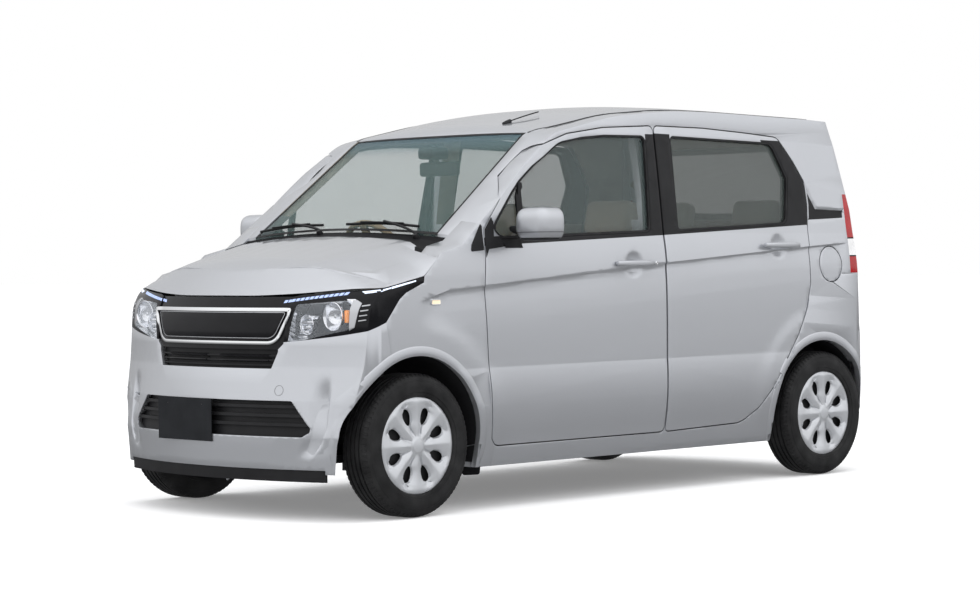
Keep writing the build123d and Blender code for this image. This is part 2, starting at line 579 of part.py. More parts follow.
def seat(x, hip_y, hip_z, width, floor_z):
    """Cushion, leaning back and headrest of one seat, as three soft blocks on a base."""
    y0 = AXLE_F + hip_y
    base = block(x - width / 2 + 50, x + width / 2 - 50, y0 - CUSHION[1] + 60, y0 - 40, floor_z,
                 hip_z - CUSHION[2])
    cushion = block(x - width / 2, x + width / 2, y0 - CUSHION[1], y0 + 20, hip_z - CUSHION[2], hip_z)
    cushion = fillet(cushion.edges().filter_by(Axis.X), 35)
    lean = Pos(x, y0 + 10, hip_z - 60) * Rot(-BACK_LEAN, 0, 0)
    back = Pos(0, SEAT_BACK[1] / 2, SEAT_BACK[2] / 2) * Box(width, SEAT_BACK[1], SEAT_BACK[2])
    back = lean * fillet(back.edges().filter_by(Axis.X), 40)
    rest = Pos(0, SEAT_BACK[1] / 2, SEAT_BACK[2] + 20 + HEADREST[2] / 2) * Box(*HEADREST)
    rest = fillet(rest.edges(), 30)
    stems = Pos(60, SEAT_BACK[1] / 2, SEAT_BACK[2] + 20) * Cylinder(6, 60)
    stems += Pos(-60, SEAT_BACK[1] / 2, SEAT_BACK[2] + 20) * Cylinder(6, 60)
    return base + cushion + back + lean * (rest + stems)


# ---------------------------------------------------------------- wheels and suspension
def tyre():
    half, bead, radius = TYRE_WIDTH / 2, RIM_RADIUS + 2, TYRE_RADIUS
    rows = [(-60, bead), (-half, bead + 46), (-half + 12, radius - 9), (-half + 28, radius)]
    rows += [(-x, r) for x, r in rows[::-1]]
    face = Plane.XZ * make_face(Polyline(*rows, close=True))
    return revolve(face, axis=Axis.X)


def wheel():
    """Rim barrel, hub plate and a wheel cover with eight windows. The outside faces +X."""
    bead = RIM_RADIUS + 2
    rim = [(-60, bead), (-60, bead - 8), (20, bead - 8), (20, 0), (30, 0), (30, bead - 8),
           (60, bead - 8), (60, bead)]
    dish = [(58, bead - 8), (60, bead), (67, bead + 10), (67, COVER_RADIUS), (70, COVER_RADIUS),
            (76, bead - 14), (79, 44), (80, 0), (30, 0), (30, 26), (73, 32), (70, bead - 20),
            (62, bead - 8)]
    barrel = revolve(Plane.XZ * make_face(Polyline(*rim, close=True)), axis=Axis.X)
    cover = revolve(Plane.XZ * make_face(Polyline(*dish, close=True)), axis=Axis.X)
    hole = Plane.YZ.offset(56) * extrude(Pos(0, 112, 0) * Ellipse(20, 32), amount=40)
    for k in range(8):
        cover -= Rot(45 * k + 22.5, 0, 0) * hole
    return barrel + cover


def knuckle():
    """Hub carrier of the left front wheel with its strut along the steering axis."""
    face_x = WHEEL_X + 20 - SEAT_GAP
    hub = disc(62, face_x - 14, face_x, AXLE_F, HUB_Z) + disc(88, face_x - 62, face_x - 14, AXLE_F, HUB_Z)
    low = (KING_LOW[0], AXLE_F, KING_LOW[1])
    share = 0.86
    top = (KING_LOW[0] + (KING_TOP[0] - KING_LOW[0]) * share, AXLE_F,
           KING_LOW[1] + (KING_TOP[1] - KING_LOW[1]) * share)
    strut = rod(20, low, top)
    return hub + strut


def front_arms():
    """Lower arms from the cross member to the ball joints, and the strut seats above them."""
    low = (KING_LOW[0], AXLE_F, KING_LOW[1])
    arm = at_z(outline([(330, AXLE_F - 40), (KING_LOW[0] + 16, AXLE_F - 18), (KING_LOW[0] + 16, AXLE_F + 18),
                        (330, AXLE_F + 150)], [0, 14, 14, 0]), KING_LOW[1] - 24, KING_LOW[1] - 5.4)
    arm += block(330, 370, AXLE_F - 40, AXLE_F + 150, KING_LOW[1] - 24, 200)
    return arm, flip(arm)


def rear_axle():
    """Twist beam with trailing arms, spindles and hub flanges."""
    face_x = WHEEL_X + 20 - SEAT_GAP
    half = rod(26, (0, AXLE_R - 150, HUB_Z - 20), (470, AXLE_R - 150, HUB_Z - 20))
    half += rod(24, (455, AXLE_R - 400, 255), (500, AXLE_R, HUB_Z))
    half += disc(30, 480, face_x - 40, AXLE_R, HUB_Z) + disc(92, face_x - 60, face_x - 12, AXLE_R, HUB_Z)
    half += disc(62, face_x - 14, face_x, AXLE_R, HUB_Z)
    half += disc(30, 425, 485, AXLE_R - 400, 255)
    return half + flip(half)


def mirror_housing():
    """Left door mirror: a rounded shell on a foot at the door's front corner."""
    shell = block(762, 935, AXLE_F + 484, AXLE_F + 612, 1056, 1190)
    shell = fillet(shell.edges().filter_by(Axis.Y), 42)
    shell = fillet(shell.faces().sort_by(Axis.Y)[0].edges(), 38)
    foot = at_y(outline([(690, 1096), (800, 1072), (800, 1100), (700, 1124)]), AXLE_F + 510, AXLE_F + 580)
    return (shell + foot) - form(0)


def lower_grille(zone):
    """Slatted inserts behind the upper intake and the mouth of the bumper."""
    inner = form(PANEL) - form(PANEL + 8)
    w, z1 = INTAKE[0]
    w2, z2 = INTAKE[1]
    hole = at_y(outline([(-w, z1 + 30), (w, z1 + 30), (w, z1), (w2, z2), (-w2, z2), (-w, z1)]),
                Y_FRONT - 60, Y_FRONT + 200)
    back = at_y(outline([(-w - 8, z1 + 10), (w + 8, z1 + 10), (w2 + 8, z2 - 14), (-w2 - 8, z2 - 14)]),
                Y_FRONT - 60, Y_FRONT + 200)
    upper = inner & back
    for k in range(3):
        z = z2 + 10 + 18 * k
        upper += ((form(10) - form(PANEL + 2)) & hole) & block(-w, w, Y_FRONT, 0, z, z + 6)
    return hole, upper - zone


def mouth():
    rows = [(-MOUTH[0][0], MOUTH[0][1]), (MOUTH[0][0], MOUTH[0][1]), (MOUTH[1][0], MOUTH[1][1]),
            (MOUTH[2][0], MOUTH[2][1]), (-MOUTH[2][0], MOUTH[2][1]), (-MOUTH[1][0], MOUTH[1][1])]
    radii = [14, 14, 12, 12, 12, 12]
    hole = at_y(outline(rows, radii), Y_FRONT - 60, Y_FRONT + 250)
    back = at_y(parallel_face(rows, radii, -12), Y_FRONT - 60, Y_FRONT + 250)
    insert = (form(PANEL) - form(PANEL + 8)) & back
    for z in BAR_Z:
        insert += ((form(8) - form(PANEL + 2)) & hole) & block(-560, 560, Y_FRONT, 0, z - 6, z + 6)
    return hole, insert


def plate():
    w, h, t = PLATE
    y = Y_FRONT
    board = block(PLATE_X - w / 2, PLATE_X + w / 2, y, y + t, PLATE_Z - h / 2, PLATE_Z + h / 2)
    holes = [Pos(PLATE_X + k * 105, y, PLATE_Z + 60) * Rot(90, 0, 0) * Cylinder(3.4, 60) for k in (-1, 1)]
    stay = block(PLATE_X - 40, PLATE_X + 40, y + t, y + 60, PLATE_Z - 30, PLATE_Z + 30) - form(8)
    for hole in holes:
        board -= hole
    return board + stay


def step(shape, name):
    os.makedirs("parts", exist_ok=True)
    export_step(shape, f"parts/{name}.step")


def main():
    skin, zone = skins()
    intake_hole, intake = lower_grille(zone["grille"])
    mouth_hole, insert = mouth()
    step(main_solid(skin["front_bumper"] - intake_hole - mouth_hole), "front_bumper")
    step(skin["hood"], "hood")
    step(skin["grille"], "grille_panel")
    step(skin["windshield"], "windshield")
    step(skin["cowl"], "cowl")
    stops = block(380, 420, AXLE_R + 90, AXLE_R + TAIL_GATE_Y + GAP - SEAT_GAP, 1400, 1700)
    stops = wall(PANEL, FRAME_THICK) & stops
    step(skin["roof"] + stops + flip(stops), "roof")
    step(skin["rear_bumper"], "rear_bumper")
    chin_end = AXLE_F + ARCH_F[0] - ARCH_F[2] - LINER - 1
    chin = wall(3, 40) & block(-CHIN[0], CHIN[0], Y_FRONT - 60, chin_end, CHIN[1], CHIN[2])
    step(Compound([main_solid(intake), main_solid(insert), main_solid(chin)]), "lower_grille")
    step(main_solid(plate()), "number_plate")
    window = at_y(outline([(-GATE_WINDOW[0], GATE_WINDOW[2]), (GATE_WINDOW[0], GATE_WINDOW[2]),
                           (GATE_WINDOW[1], GATE_WINDOW[3]), (-GATE_WINDOW[1], GATE_WINDOW[3])], 40),
                  AXLE_R + 60, Y_REAR + 60)
    step(main_solid(skin["gate"] - window), "tailgate")
    step(main_solid(wall(GLASS_SET, GLASS_SET + GLASS) & window), "tailgate_glass")
    lamps = skin["headlamp"]
    step(Compound([lamps, flip(lamps)]), "headlamps")
    step(Compound([skin["tail_lamp"], flip(skin["tail_lamp"])]), "tail_lamps")
    side = main_solid(skin["side"] + pillars())
    step(flip(side), "side_r")
    lid_y = AXLE_R + FUEL_LID[0]
    pocket = disc(FUEL_LID[2] + GAP / 2, 600, HALF + 60, lid_y, FUEL_LID[1]) - form(30)
    stay = block(600, HALF, lid_y - 66, lid_y - 46, FUEL_LID[1] - 16, FUEL_LID[1] + 16)
    step(main_solid((side - pocket) + ((form(14 + SEAT_GAP) - form(31)) & stay)), "side_l")
    cap = (form(0) - form(14)) & disc(FUEL_LID[2] - GAP / 2, 600, HALF + 60, lid_y, FUEL_LID[1])
    step(main_solid(cap), "fuel_lid")
    step(Compound([skin["fender"], flip(skin["fender"])]), "fenders")
    linings = [main_solid(liner(ARCH_F, AXLE_F, ARCH_INNER_X, PANEL)),
               main_solid(liner(ARCH_R, AXLE_R, REAR_ARCH_INNER_X, FRAME_THICK))]
    step(Compound(linings + [flip(one) for one in linings]), "arch_liners")
    step(main_solid(underbody()), "underbody")
    dash = dashboard()
    step(main_solid(dash + steering_column()), "dashboard")
    step(steering_wheel(), "steering_wheel")
    front = [seat(x, HIP[0], HIP[1], CUSHION[0], FLOOR_Z) for x in (SEAT_X, -SEAT_X)]
    step(Compound(front), "front_seats")
    rear = [seat(x, REAR_HIP[0], REAR_HIP[1], 524, REAR_FLOOR_Z) for x in (268, -268)]
    step(Compound(rear), "rear_seats")
    step(block(-320, 320, Y_FRONT + 160, AXLE_F + 240, FLOOR_Z, 760), "engine_block")
    for rows, win, name in ((front_door_rows(), front_window_rows(), "front"),
                            (rear_door_rows(), rear_window_rows(), "rear")):
        body, glass = door(rows[0], rows[1], win[0], win[1])
        step(body, f"door_{name}_l")
        step(flip(body), f"door_{name}_r")
        step(glass, f"glass_{name}_l")
        step(flip(glass), f"glass_{name}_r")
    housing = main_solid(mirror_housing())
    step(housing, "mirror_l")
    step(flip(housing), "mirror_r")
    ring, disc_wheel = tyre(), wheel()
    for name, side_sign, y in (("fl", 1, AXLE_F), ("fr", -1, AXLE_F), ("rl", 1, AXLE_R), ("rr", -1, AXLE_R)):
        place = Pos(side_sign * WHEEL_X, y, HUB_Z)
        turn = Rot(0, 0, 0 if side_sign > 0 else 180)
        step(place * turn * ring, f"tyre_{name}")
        step(place * turn * disc_wheel, f"wheel_{name}")
    carrier = knuckle()
    step(main_solid(carrier), "knuckle_l")
    step(flip(main_solid(carrier)), "knuckle_r")
    step(Compound(list(front_arms())), "front_arms")
    step(rear_axle(), "rear_axle")


if __name__ == "__main__":
    main()
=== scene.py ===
"""Kei car: paint, glass, lamps, wheels and cabin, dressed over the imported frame."""

from __future__ import annotations

import json
import logging
import math
from dataclasses import dataclass, field
from enum import Enum
from typing import Callable, Iterable, Sequence

import bmesh
import bpy
from mathutils import Matrix, Vector
from mathutils.bvhtree import BVHTree

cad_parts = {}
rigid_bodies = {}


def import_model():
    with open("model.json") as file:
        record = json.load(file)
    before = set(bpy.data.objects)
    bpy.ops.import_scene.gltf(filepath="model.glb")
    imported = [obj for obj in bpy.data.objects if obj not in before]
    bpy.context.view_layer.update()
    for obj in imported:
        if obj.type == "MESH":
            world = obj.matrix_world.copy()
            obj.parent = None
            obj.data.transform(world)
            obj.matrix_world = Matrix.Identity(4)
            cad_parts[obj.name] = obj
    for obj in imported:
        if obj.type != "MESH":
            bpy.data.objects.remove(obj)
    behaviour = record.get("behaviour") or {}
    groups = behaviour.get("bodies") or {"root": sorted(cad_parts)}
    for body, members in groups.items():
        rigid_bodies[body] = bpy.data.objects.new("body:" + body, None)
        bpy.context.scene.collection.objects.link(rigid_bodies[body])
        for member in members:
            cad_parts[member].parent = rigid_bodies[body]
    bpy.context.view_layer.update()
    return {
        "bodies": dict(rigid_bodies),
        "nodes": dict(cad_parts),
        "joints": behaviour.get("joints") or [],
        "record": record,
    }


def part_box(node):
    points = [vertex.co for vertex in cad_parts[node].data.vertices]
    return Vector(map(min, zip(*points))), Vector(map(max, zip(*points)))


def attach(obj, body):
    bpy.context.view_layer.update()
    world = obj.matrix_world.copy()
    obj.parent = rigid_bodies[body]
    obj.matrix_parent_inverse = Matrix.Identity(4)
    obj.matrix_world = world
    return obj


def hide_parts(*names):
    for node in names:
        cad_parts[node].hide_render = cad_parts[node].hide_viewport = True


LOG = logging.getLogger("kei_car")
Colour = tuple[float, float, float]
Point = tuple[float, float, float]
Point2 = tuple[float, float]
Rows = tuple[Point2, ...]
Plane = tuple[Point, Point]
Piece = bpy.types.Object
Socket = bpy.types.NodeSocket
FaceTest = Callable[[Vector, Vector], bool]
SIDES = {1: "l", -1: "r"}


class Body(Enum):
    """CAD bodies that carry pieces of the car."""

    SHELL = "body"
    DOOR_FL = "door_fl"
    DOOR_FR = "door_fr"
    DOOR_RL = "door_rl"
    DOOR_RR = "door_rr"
    HOOD = "hood"
    TAILGATE = "tailgate"
    FUEL_LID = "fuel_lid"
    WHEEL_FL = "wheel_front_left"
    WHEEL_FR = "wheel_front_right"
    WHEEL_RL = "wheel_rear_left"
    WHEEL_RR = "wheel_rear_right"

    @classmethod
    def door(cls, row: str, tail: str) -> Body:
        """The side door of a row, front or rear, on a side, l or r."""
        return cls[f"DOOR_{row[0]}{tail}".upper()]


# ------------------------------------------------------------------ node graphs and finishes
class Graph:
    """A material's node tree with short calls for the nodes that the finishes share."""

    def __init__(self, name: str) -> None:
        """Start an empty material that holds a Principled shader.

        Args:
            name: The material's name.
        """
        self.material = bpy.data.materials.new(name)
        self.material.use_nodes = True
        self.tree = self.material.node_tree
        self.shader = self.tree.nodes["Principled BSDF"]

    def add(self, kind: str, inputs: dict[str | int, object] | None = None,
            **settings: object) -> bpy.types.Node:
        """Add a node, set its properties and then its inputs.

        Args:
            kind: The node's Blender type, without its first word.
            inputs: A value or a source socket for each named input.
            settings: Properties of the node.

        Returns:
            The new node.
        """
        node = self.tree.nodes.new("ShaderNode" + kind)
        for key, value in settings.items():
            setattr(node, key, value)
        for key, value in (inputs or {}).items():
            self.fill(node.inputs[key], value)
        return node

    def fill(self, target: Socket, value: object) -> None:
        """Set an input or lead a source to it.

        Args:
            target: The input.
            value: A number, a colour or a source socket.
        """
        if isinstance(value, Socket):
            self.tree.links.new(value, target)
        elif isinstance(value, tuple) and len(value) == 3:
            target.default_value = (*value, 1.0)
        else:
            target.default_value = value

    def put(self, socket: str, value: object) -> None:
        """Fill one of the shader's own inputs."""
        self.fill(self.shader.inputs[socket], value)

    def place(self) -> Socket:
        """Object coordinates, which every finish reads."""
        return self.add("TexCoord").outputs["Object"]

    def noise(self, scale: float, detail: float = 3.0, rough: float = 0.5) -> Socket:
        """A noise pattern on Object coordinates."""
        return self.add("TexNoise", {"Scale": scale, "Detail": detail, "Roughness": rough,
                                     "Vector": self.place()}).outputs["Fac"]

    def ramp(self, fac: Socket, low: Colour, high: Colour,
             start: float = 0.3, end: float = 0.7) -> Socket:
        """Two colours blended by a pattern.

        Args:
            fac: The pattern.
            low: Colour at the start of the ramp.
            high: Colour at its end.
            start: Pattern value of the first colour.
            end: Pattern value of the second colour.

        Returns:
            The colour socket.
        """
        node = self.add("ValToRGB", {"Fac": fac})
        first, last = node.color_ramp.elements
        first.position, last.position = start, end
        first.color, last.color = (*low, 1.0), (*high, 1.0)
        return node.outputs["Color"]

    def spread(self, fac: Socket, low: float, high: float, start: float = 0.3,
               end: float = 0.7, **settings: object) -> Socket:
        """A number between two limits, led by a pattern."""
        return self.add("MapRange", {"From Min": start, "From Max": end, "To Min": low,
                                     "To Max": high, "Value": fac}, **settings).outputs["Result"]

    def bump(self, height: Socket, strength: float, distance: float) -> None:
        """Raise the surface by a pattern."""
        self.put("Normal", self.add("Bump", {"Strength": strength, "Distance": distance,
                                             "Height": height}).outputs["Normal"])


@dataclass(frozen=True)
class Finish:
    """Base of every finish: a name, a colour and a cached material."""

    name: str
    colour: Colour

    def build(self, graph: Graph) -> None:
        """Fill the graph. Each kind of finish has its own."""
        graph.put("Base Color", self.colour)

    def material(self) -> bpy.types.Material:
        """Make the material once and hand it out after that.

        Returns:
            The material.
        """
        ready = bpy.data.materials.get(self.name)
        if ready is None:
            graph = Graph(self.name)
            self.build(graph)
            ready = graph.material
        return ready


@dataclass(frozen=True)
class PaintFinish(Finish):
    """Metallic lacquer: fine flakes, a soft drift of tone and a clear coat."""

    metallic: float = 0.72
    rough: float = 0.36
    drift: float = 0.02

    def build(self, graph: Graph) -> None:
        """Fill the graph with flakes under a clear coat.

        Args:
            graph: The material's graph.
        """
        dark = tuple(c * (1 - self.drift * 2) for c in self.colour)
        flakes = graph.noise(900.0, 2.0, 0.6)
        graph.put("Base Color", graph.ramp(flakes, dark, self.colour))
        graph.put("Metallic", self.metallic)
        graph.put("Roughness", graph.spread(graph.noise(3.0), self.rough - 0.015,
                                            self.rough + 0.015))
        graph.put("Coat Weight", 1.0)
        graph.put("Coat Roughness", 0.04)
        graph.bump(graph.noise(500.0, 2.0, 0.5), 0.05, 0.0002)


@dataclass(frozen=True)
class PlasticFinish(Finish):
    """Moulded plastic with a fine grain, matte or polished."""

    rough: float = 0.55
    grain: float = 600.0
    relief: float = 0.25
    coat: float = 0.0
    shine: float = 0.35

    def build(self, graph: Graph) -> None:
        """Fill the graph with a grain that shows in tone, gloss and relief.

        Args:
            graph: The material's graph.
        """
        grain = graph.noise(self.grain, 4.0, 0.6)
        light = tuple(min(1.0, c * 1.25 + 0.0015) for c in self.colour)
        graph.put("Base Color", graph.ramp(graph.noise(self.grain / 40, 3.0), self.colour, light))
        graph.put("Roughness", graph.spread(grain, self.rough - 0.05, self.rough + 0.08))
        graph.put("Specular IOR Level", self.shine)
        graph.put("Coat Weight", self.coat)
        graph.put("Coat Roughness", 0.03)
        graph.bump(grain, self.relief, 0.0004)


@dataclass(frozen=True)
class MetalFinish(Finish):
    """Chrome, bright or satin metal with faint polishing marks."""

    rough: float = 0.08

    def build(self, graph: Graph) -> None:
        """Fill the graph with a metal whose gloss drifts a little.

        Args:
            graph: The material's graph.
        """
        graph.put("Base Color", self.colour)
        graph.put("Metallic", 1.0)
        graph.put("Roughness", graph.spread(graph.noise(60.0, 4.0), self.rough, self.rough + 0.05))


@dataclass(frozen=True)
class GlassFinish(Finish):
    """Pane that is more solid at a glancing angle, with an optional dark band above a height."""

    alpha: float = 0.14
    edge: float = 0.75
    band_z: float = 0.0
    band_height: float = 0.1
    band: Colour = (0.02, 0.07, 0.10)

    def build(self, graph: Graph) -> None:
        """Fill the graph with a tinted pane.

        Args:
            graph: The material's graph.
        """
        facing = graph.add("LayerWeight", {"Blend": 0.35}).outputs["Facing"]
        out = graph.spread(facing, self.alpha, self.edge, 0.0, 1.0)
        tone = graph.ramp(graph.noise(8.0), self.colour, tuple(c * 0.9 for c in self.colour))
        if self.band_z > 0:
            height = graph.add("SeparateXYZ", {"Vector": graph.place()}).outputs["Z"]
            band = graph.spread(height, 0.0, 1.0, self.band_z - self.band_height, self.band_z,
                                interpolation_type="SMOOTHSTEP")
            tone = graph.add("Mix", {"Factor": band, "A": tone, "B": self.band},
                             data_type="RGBA").outputs["Result"]
            solid = graph.spread(band, 0.0, 0.72, 0.0, 1.0)
            out = graph.add("Math", {0: out, 1: solid}, operation="MAXIMUM").outputs["Value"]
        graph.put("Base Color", tone)
        graph.put("Alpha", out)
        graph.put("Roughness", 0.02)
        graph.put("Specular IOR Level", 0.8)
        graph.material.surface_render_method = "BLENDED"


@dataclass(frozen=True)
class RubberFinish(Finish):
    """Tyre and seal rubber, a little dusty."""

    rough: float = 0.62
    shine: float = 0.2

    def build(self, graph: Graph) -> None:
        """Fill the graph with a soft black that is duller in patches.

        Args:
            graph: The material's graph.
        """
        dust = tuple(c + 0.012 for c in self.colour)
        graph.put("Base Color", graph.ramp(graph.noise(14.0, 5.0), self.colour, dust))
        graph.put("Roughness", graph.spread(graph.noise(30.0, 4.0), self.rough - 0.06,
                                            self.rough + 0.1))
        graph.put("Specular IOR Level", self.shine)
        graph.bump(graph.noise(700.0, 3.0), 0.3, 0.0004)


@dataclass(frozen=True)
class ClothFinish(Finish):
    """Woven seat cloth with crossing threads, a soft sheen and a drift of tone."""

    thread: float = 420.0

    def build(self, graph: Graph) -> None:
        """Fill the graph with a weave.

        Args:
            graph: The material's graph.
        """
        waves = [graph.add("TexWave", {"Scale": self.thread / 6.283, "Distortion": 1.2,
                                       "Vector": graph.place()}, bands_direction=axis)
                 .outputs["Fac"] for axis in ("X", "Z")]
        weave = graph.add("Math", {0: waves[0], 1: waves[1]}, operation="MULTIPLY").outputs["Value"]
        dark = tuple(c * 0.72 for c in self.colour)
        threads = graph.ramp(weave, dark, self.colour, 0.05, 0.6)
        drift = graph.ramp(graph.noise(9.0), (0.8, 0.8, 0.8), (1.0, 1.0, 1.0))
        cloth = graph.add("Mix", {"Factor": 0.35, "A": threads, "B": drift}, data_type="RGBA",
                          blend_type="MULTIPLY").outputs["Result"]
        graph.put("Base Color", cloth)
        graph.put("Roughness", 0.85)
        graph.put("Sheen Weight", 0.35)
        graph.put("Sheen Roughness", 0.5)
        graph.bump(weave, 0.4, 0.0006)


@dataclass(frozen=True)
class LightFinish(Finish):
    """A lit or bright light guide."""

    glow: float = 1.2

    def build(self, graph: Graph) -> None:
        """Fill the graph with a faint glow over a milky body.

        Args:
            graph: The material's graph.
        """
        tone = graph.ramp(graph.noise(80.0), tuple(c * 0.85 for c in self.colour), self.colour)
        graph.put("Base Color", tone)
        graph.put("Emission Color", tone)
        graph.put("Emission Strength", self.glow)
        graph.put("Roughness", 0.25)


@dataclass(frozen=True)
class StageFinish(Finish):
    """Pale floor that is lit a little from within, so that only soft shade shows on it."""

    glow: float = 0.22

    def build(self, graph: Graph) -> None:
        """Fill the graph with a matte white.

        Args:
            graph: The material's graph.
        """
        tone = graph.ramp(graph.noise(2.0), tuple(c * 0.99 for c in self.colour), self.colour)
        graph.put("Base Color", tone)
        graph.put("Roughness", 0.9)
        graph.put("Specular IOR Level", 0.0)
        graph.put("Emission Color", self.colour)
        graph.put("Emission Strength", self.glow)


SILVER = PaintFinish("paint_silver", (0.56, 0.575, 0.605), metallic=0.82, rough=0.33)
COVER_SILVER = PaintFinish("cover_silver", (0.56, 0.575, 0.60), metallic=0.6, rough=0.36)
GLOSS_BLACK = PlasticFinish("piano_black", (0.004, 0.004, 0.005), rough=0.15, relief=0.01,
                            coat=0.12, shine=0.15)
SATIN_BLACK = PlasticFinish("satin_black", (0.010, 0.010, 0.011), rough=0.42, relief=0.12,
                            shine=0.20)
GRAIN_BLACK = PlasticFinish("grain_black", (0.008, 0.008, 0.009), rough=0.62, relief=0.4,
                            shine=0.08)
DASH = PlasticFinish("dash_charcoal", (0.022, 0.021, 0.021), rough=0.6, relief=0.35, shine=0.2)
TRIM_GREIGE = PlasticFinish("trim_greige", (0.36, 0.33, 0.28), rough=0.6, relief=0.3)
CHROME = MetalFinish("chrome", (0.86, 0.87, 0.88), rough=0.06)
MIRROR = MetalFinish("mirror_glass", (0.75, 0.78, 0.80), rough=0.01)
REFLECTOR = MetalFinish("reflector", (0.88, 0.89, 0.92), rough=0.05)
STEEL = MetalFinish("painted_steel", (0.10, 0.10, 0.105), rough=0.45)
UNDERSEAL = PlasticFinish("underseal", (0.010, 0.010, 0.011), rough=0.8, grain=180.0, relief=0.6,
                          shine=0.1)
TYRE = RubberFinish("tyre_rubber", (0.0065, 0.0065, 0.007), rough=0.5)
SEAL = RubberFinish("seal_rubber", (0.008, 0.008, 0.009), rough=0.5)
SCREEN = GlassFinish("screen_glass", (0.20, 0.31, 0.30), alpha=0.07, edge=0.26, band_z=1.53,
                     band_height=0.15)
SIDE_GLASS = GlassFinish("side_glass", (0.09, 0.12, 0.118), alpha=0.26, edge=0.46)
DARK_GLASS = GlassFinish("deep_tint_glass", (0.07, 0.085, 0.08), alpha=0.55, edge=0.8)
PALE_AMBER = PlasticFinish("pale_amber", (0.75, 0.62, 0.44), rough=0.15, relief=0.03, coat=1.0)
LENS = GlassFinish("lamp_lens", (0.75, 0.80, 0.86), alpha=0.05, edge=0.30)
AMBER = PlasticFinish("amber_lens", (0.80, 0.26, 0.02), rough=0.2, relief=0.05, coat=1.0)
SEAT_CLOTH = ClothFinish("front_cloth", (0.55, 0.47, 0.35))
REAR_CLOTH = ClothFinish("rear_cloth", (0.42, 0.40, 0.34))
TAN = PlasticFinish("tan_rim", (0.30, 0.22, 0.13), rough=0.45, relief=0.3)
REAR_GLASS = GlassFinish("rear_door_glass", (0.07, 0.085, 0.08), alpha=0.36, edge=0.55)
CAP_LINE = PlasticFinish("cap_line", (0.10, 0.10, 0.105), rough=0.5, relief=0.05)
PLATE_BLANK = PlasticFinish("blank_plate", (0.012, 0.013, 0.015), rough=0.5, relief=0.05, shine=0.1)
SATIN_SILVER = MetalFinish("satin_silver", (0.55, 0.56, 0.58), rough=0.28)
RED_PLASTIC = PlasticFinish("red_lamp", (0.26, 0.004, 0.006), rough=0.12, relief=0.03, coat=0.6)
CLEAR_PLASTIC = PlasticFinish("clear_lamp", (0.62, 0.62, 0.62), rough=0.12, relief=0.05, coat=1.0)
RIM_BLACK = PlasticFinish("rim_black", (0.010, 0.010, 0.011), rough=0.6, relief=0.1)
LED_BLUE = LightFinish("led_blue", (0.40, 0.50, 0.80), glow=0.45)
LED_WHITE = LightFinish("led_white", (0.72, 0.80, 0.95), glow=0.6)
FLOOR = StageFinish("studio_floor", (0.93, 0.93, 0.93))


# ------------------------------------------------------------------ modelling by hand
def clear() -> None:
    """Leave edit mode and deselect everything."""
    if bpy.context.object and bpy.context.object.mode != "OBJECT":
        close()
    bpy.ops.object.select_all(action="DESELECT")


def close() -> None:
    """Go back to object mode."""
    bpy.ops.object.mode_set(mode="OBJECT")


def take(obj: Piece) -> None:
    """Make one object the only selected and active one.

    Args:
        obj: The object.
    """
    clear()
    obj.select_set(True)
    bpy.context.view_layer.objects.active = obj


def edit(obj: Piece, select: str = "SELECT", kind: str = "FACE") -> None:
    """Open an object's mesh for editing.

    Args:
        obj: The object.
        select: The first selection, SELECT or DESELECT.
        kind: What is selected, FACE or VERT.
    """
    take(obj)
    bpy.ops.object.mode_set(mode="EDIT")
    bpy.ops.mesh.select_mode(type=kind)
    bpy.ops.mesh.select_all(action=select)


def pick(obj: Piece, test: FaceTest) -> None:
    """Select the faces that pass a test, in edit mode.

    Args:
        obj: The object.
        test: Called with each face's centre and normal.
    """
    cage = bmesh.from_edit_mesh(obj.data)
    for face in cage.faces:
        face.select_set(test(face.calc_center_median(), face.normal))
    bmesh.update_edit_mesh(obj.data)


def outward(obj: Piece) -> None:
    """Turn all faces of a mesh outwards.

    Args:
        obj: The object.
    """
    edit(obj)
    bpy.ops.mesh.normals_make_consistent(inside=False)
    close()


def made(name: str) -> Piece:
    """Name the object that an operator has just added.

    Args:
        name: The piece's name.

    Returns:
        The object.
    """
    obj = bpy.context.object
    obj.name = obj.data.name = name
    return obj


def linked(name: str, data: bpy.types.ID) -> Piece:
    """Put a mesh or a curve into the scene.

    Args:
        name: The piece's name.
        data: The mesh or curve.

    Returns:
        The object.
    """
    obj = bpy.data.objects.new(name, data)
    bpy.context.scene.collection.objects.link(obj)
    return obj


def meshed(name: str, points: Iterable[Point], edges: Sequence = (), faces: Sequence = ()) -> Piece:
    """An object from points and what joins them.

    Args:
        name: The piece's name.
        points: Its points.
        edges: Pairs of points.
        faces: Rings of points.

    Returns:
        The object.
    """
    mesh = bpy.data.meshes.new(name)
    mesh.from_pydata([tuple(p) for p in points], edges, faces)
    return linked(name, mesh)


def settle(obj: Piece) -> None:
    """Move the object's place into its mesh."""
    take(obj)
    bpy.ops.object.transform_apply(location=True, rotation=True, scale=True)


def apply(obj: Piece) -> None:
    """Apply every modifier of the object in order.

    Args:
        obj: The object.
    """
    take(obj)
    for modifier in list(obj.modifiers):
        bpy.ops.object.modifier_apply(modifier=modifier.name)


def block(name: str, low: Point, high: Point, round_by: float = 0.0) -> Piece:
    """A block between two corners with rounded edges.

    Args:
        name: The piece's name.
        low: Lowest corner.
        high: Highest corner.
        round_by: Radius of the edges.

    Returns:
        The object.
    """
    clear()
    centre = [(a + b) / 2 for a, b in zip(low, high)]
    bpy.ops.mesh.primitive_cube_add(size=1.0, location=centre)
    obj = made(name)
    obj.scale = [abs(b - a) for a, b in zip(low, high)]
    settle(obj)
    if round_by > 0:
        rounded(obj, round_by, 3)
    return obj


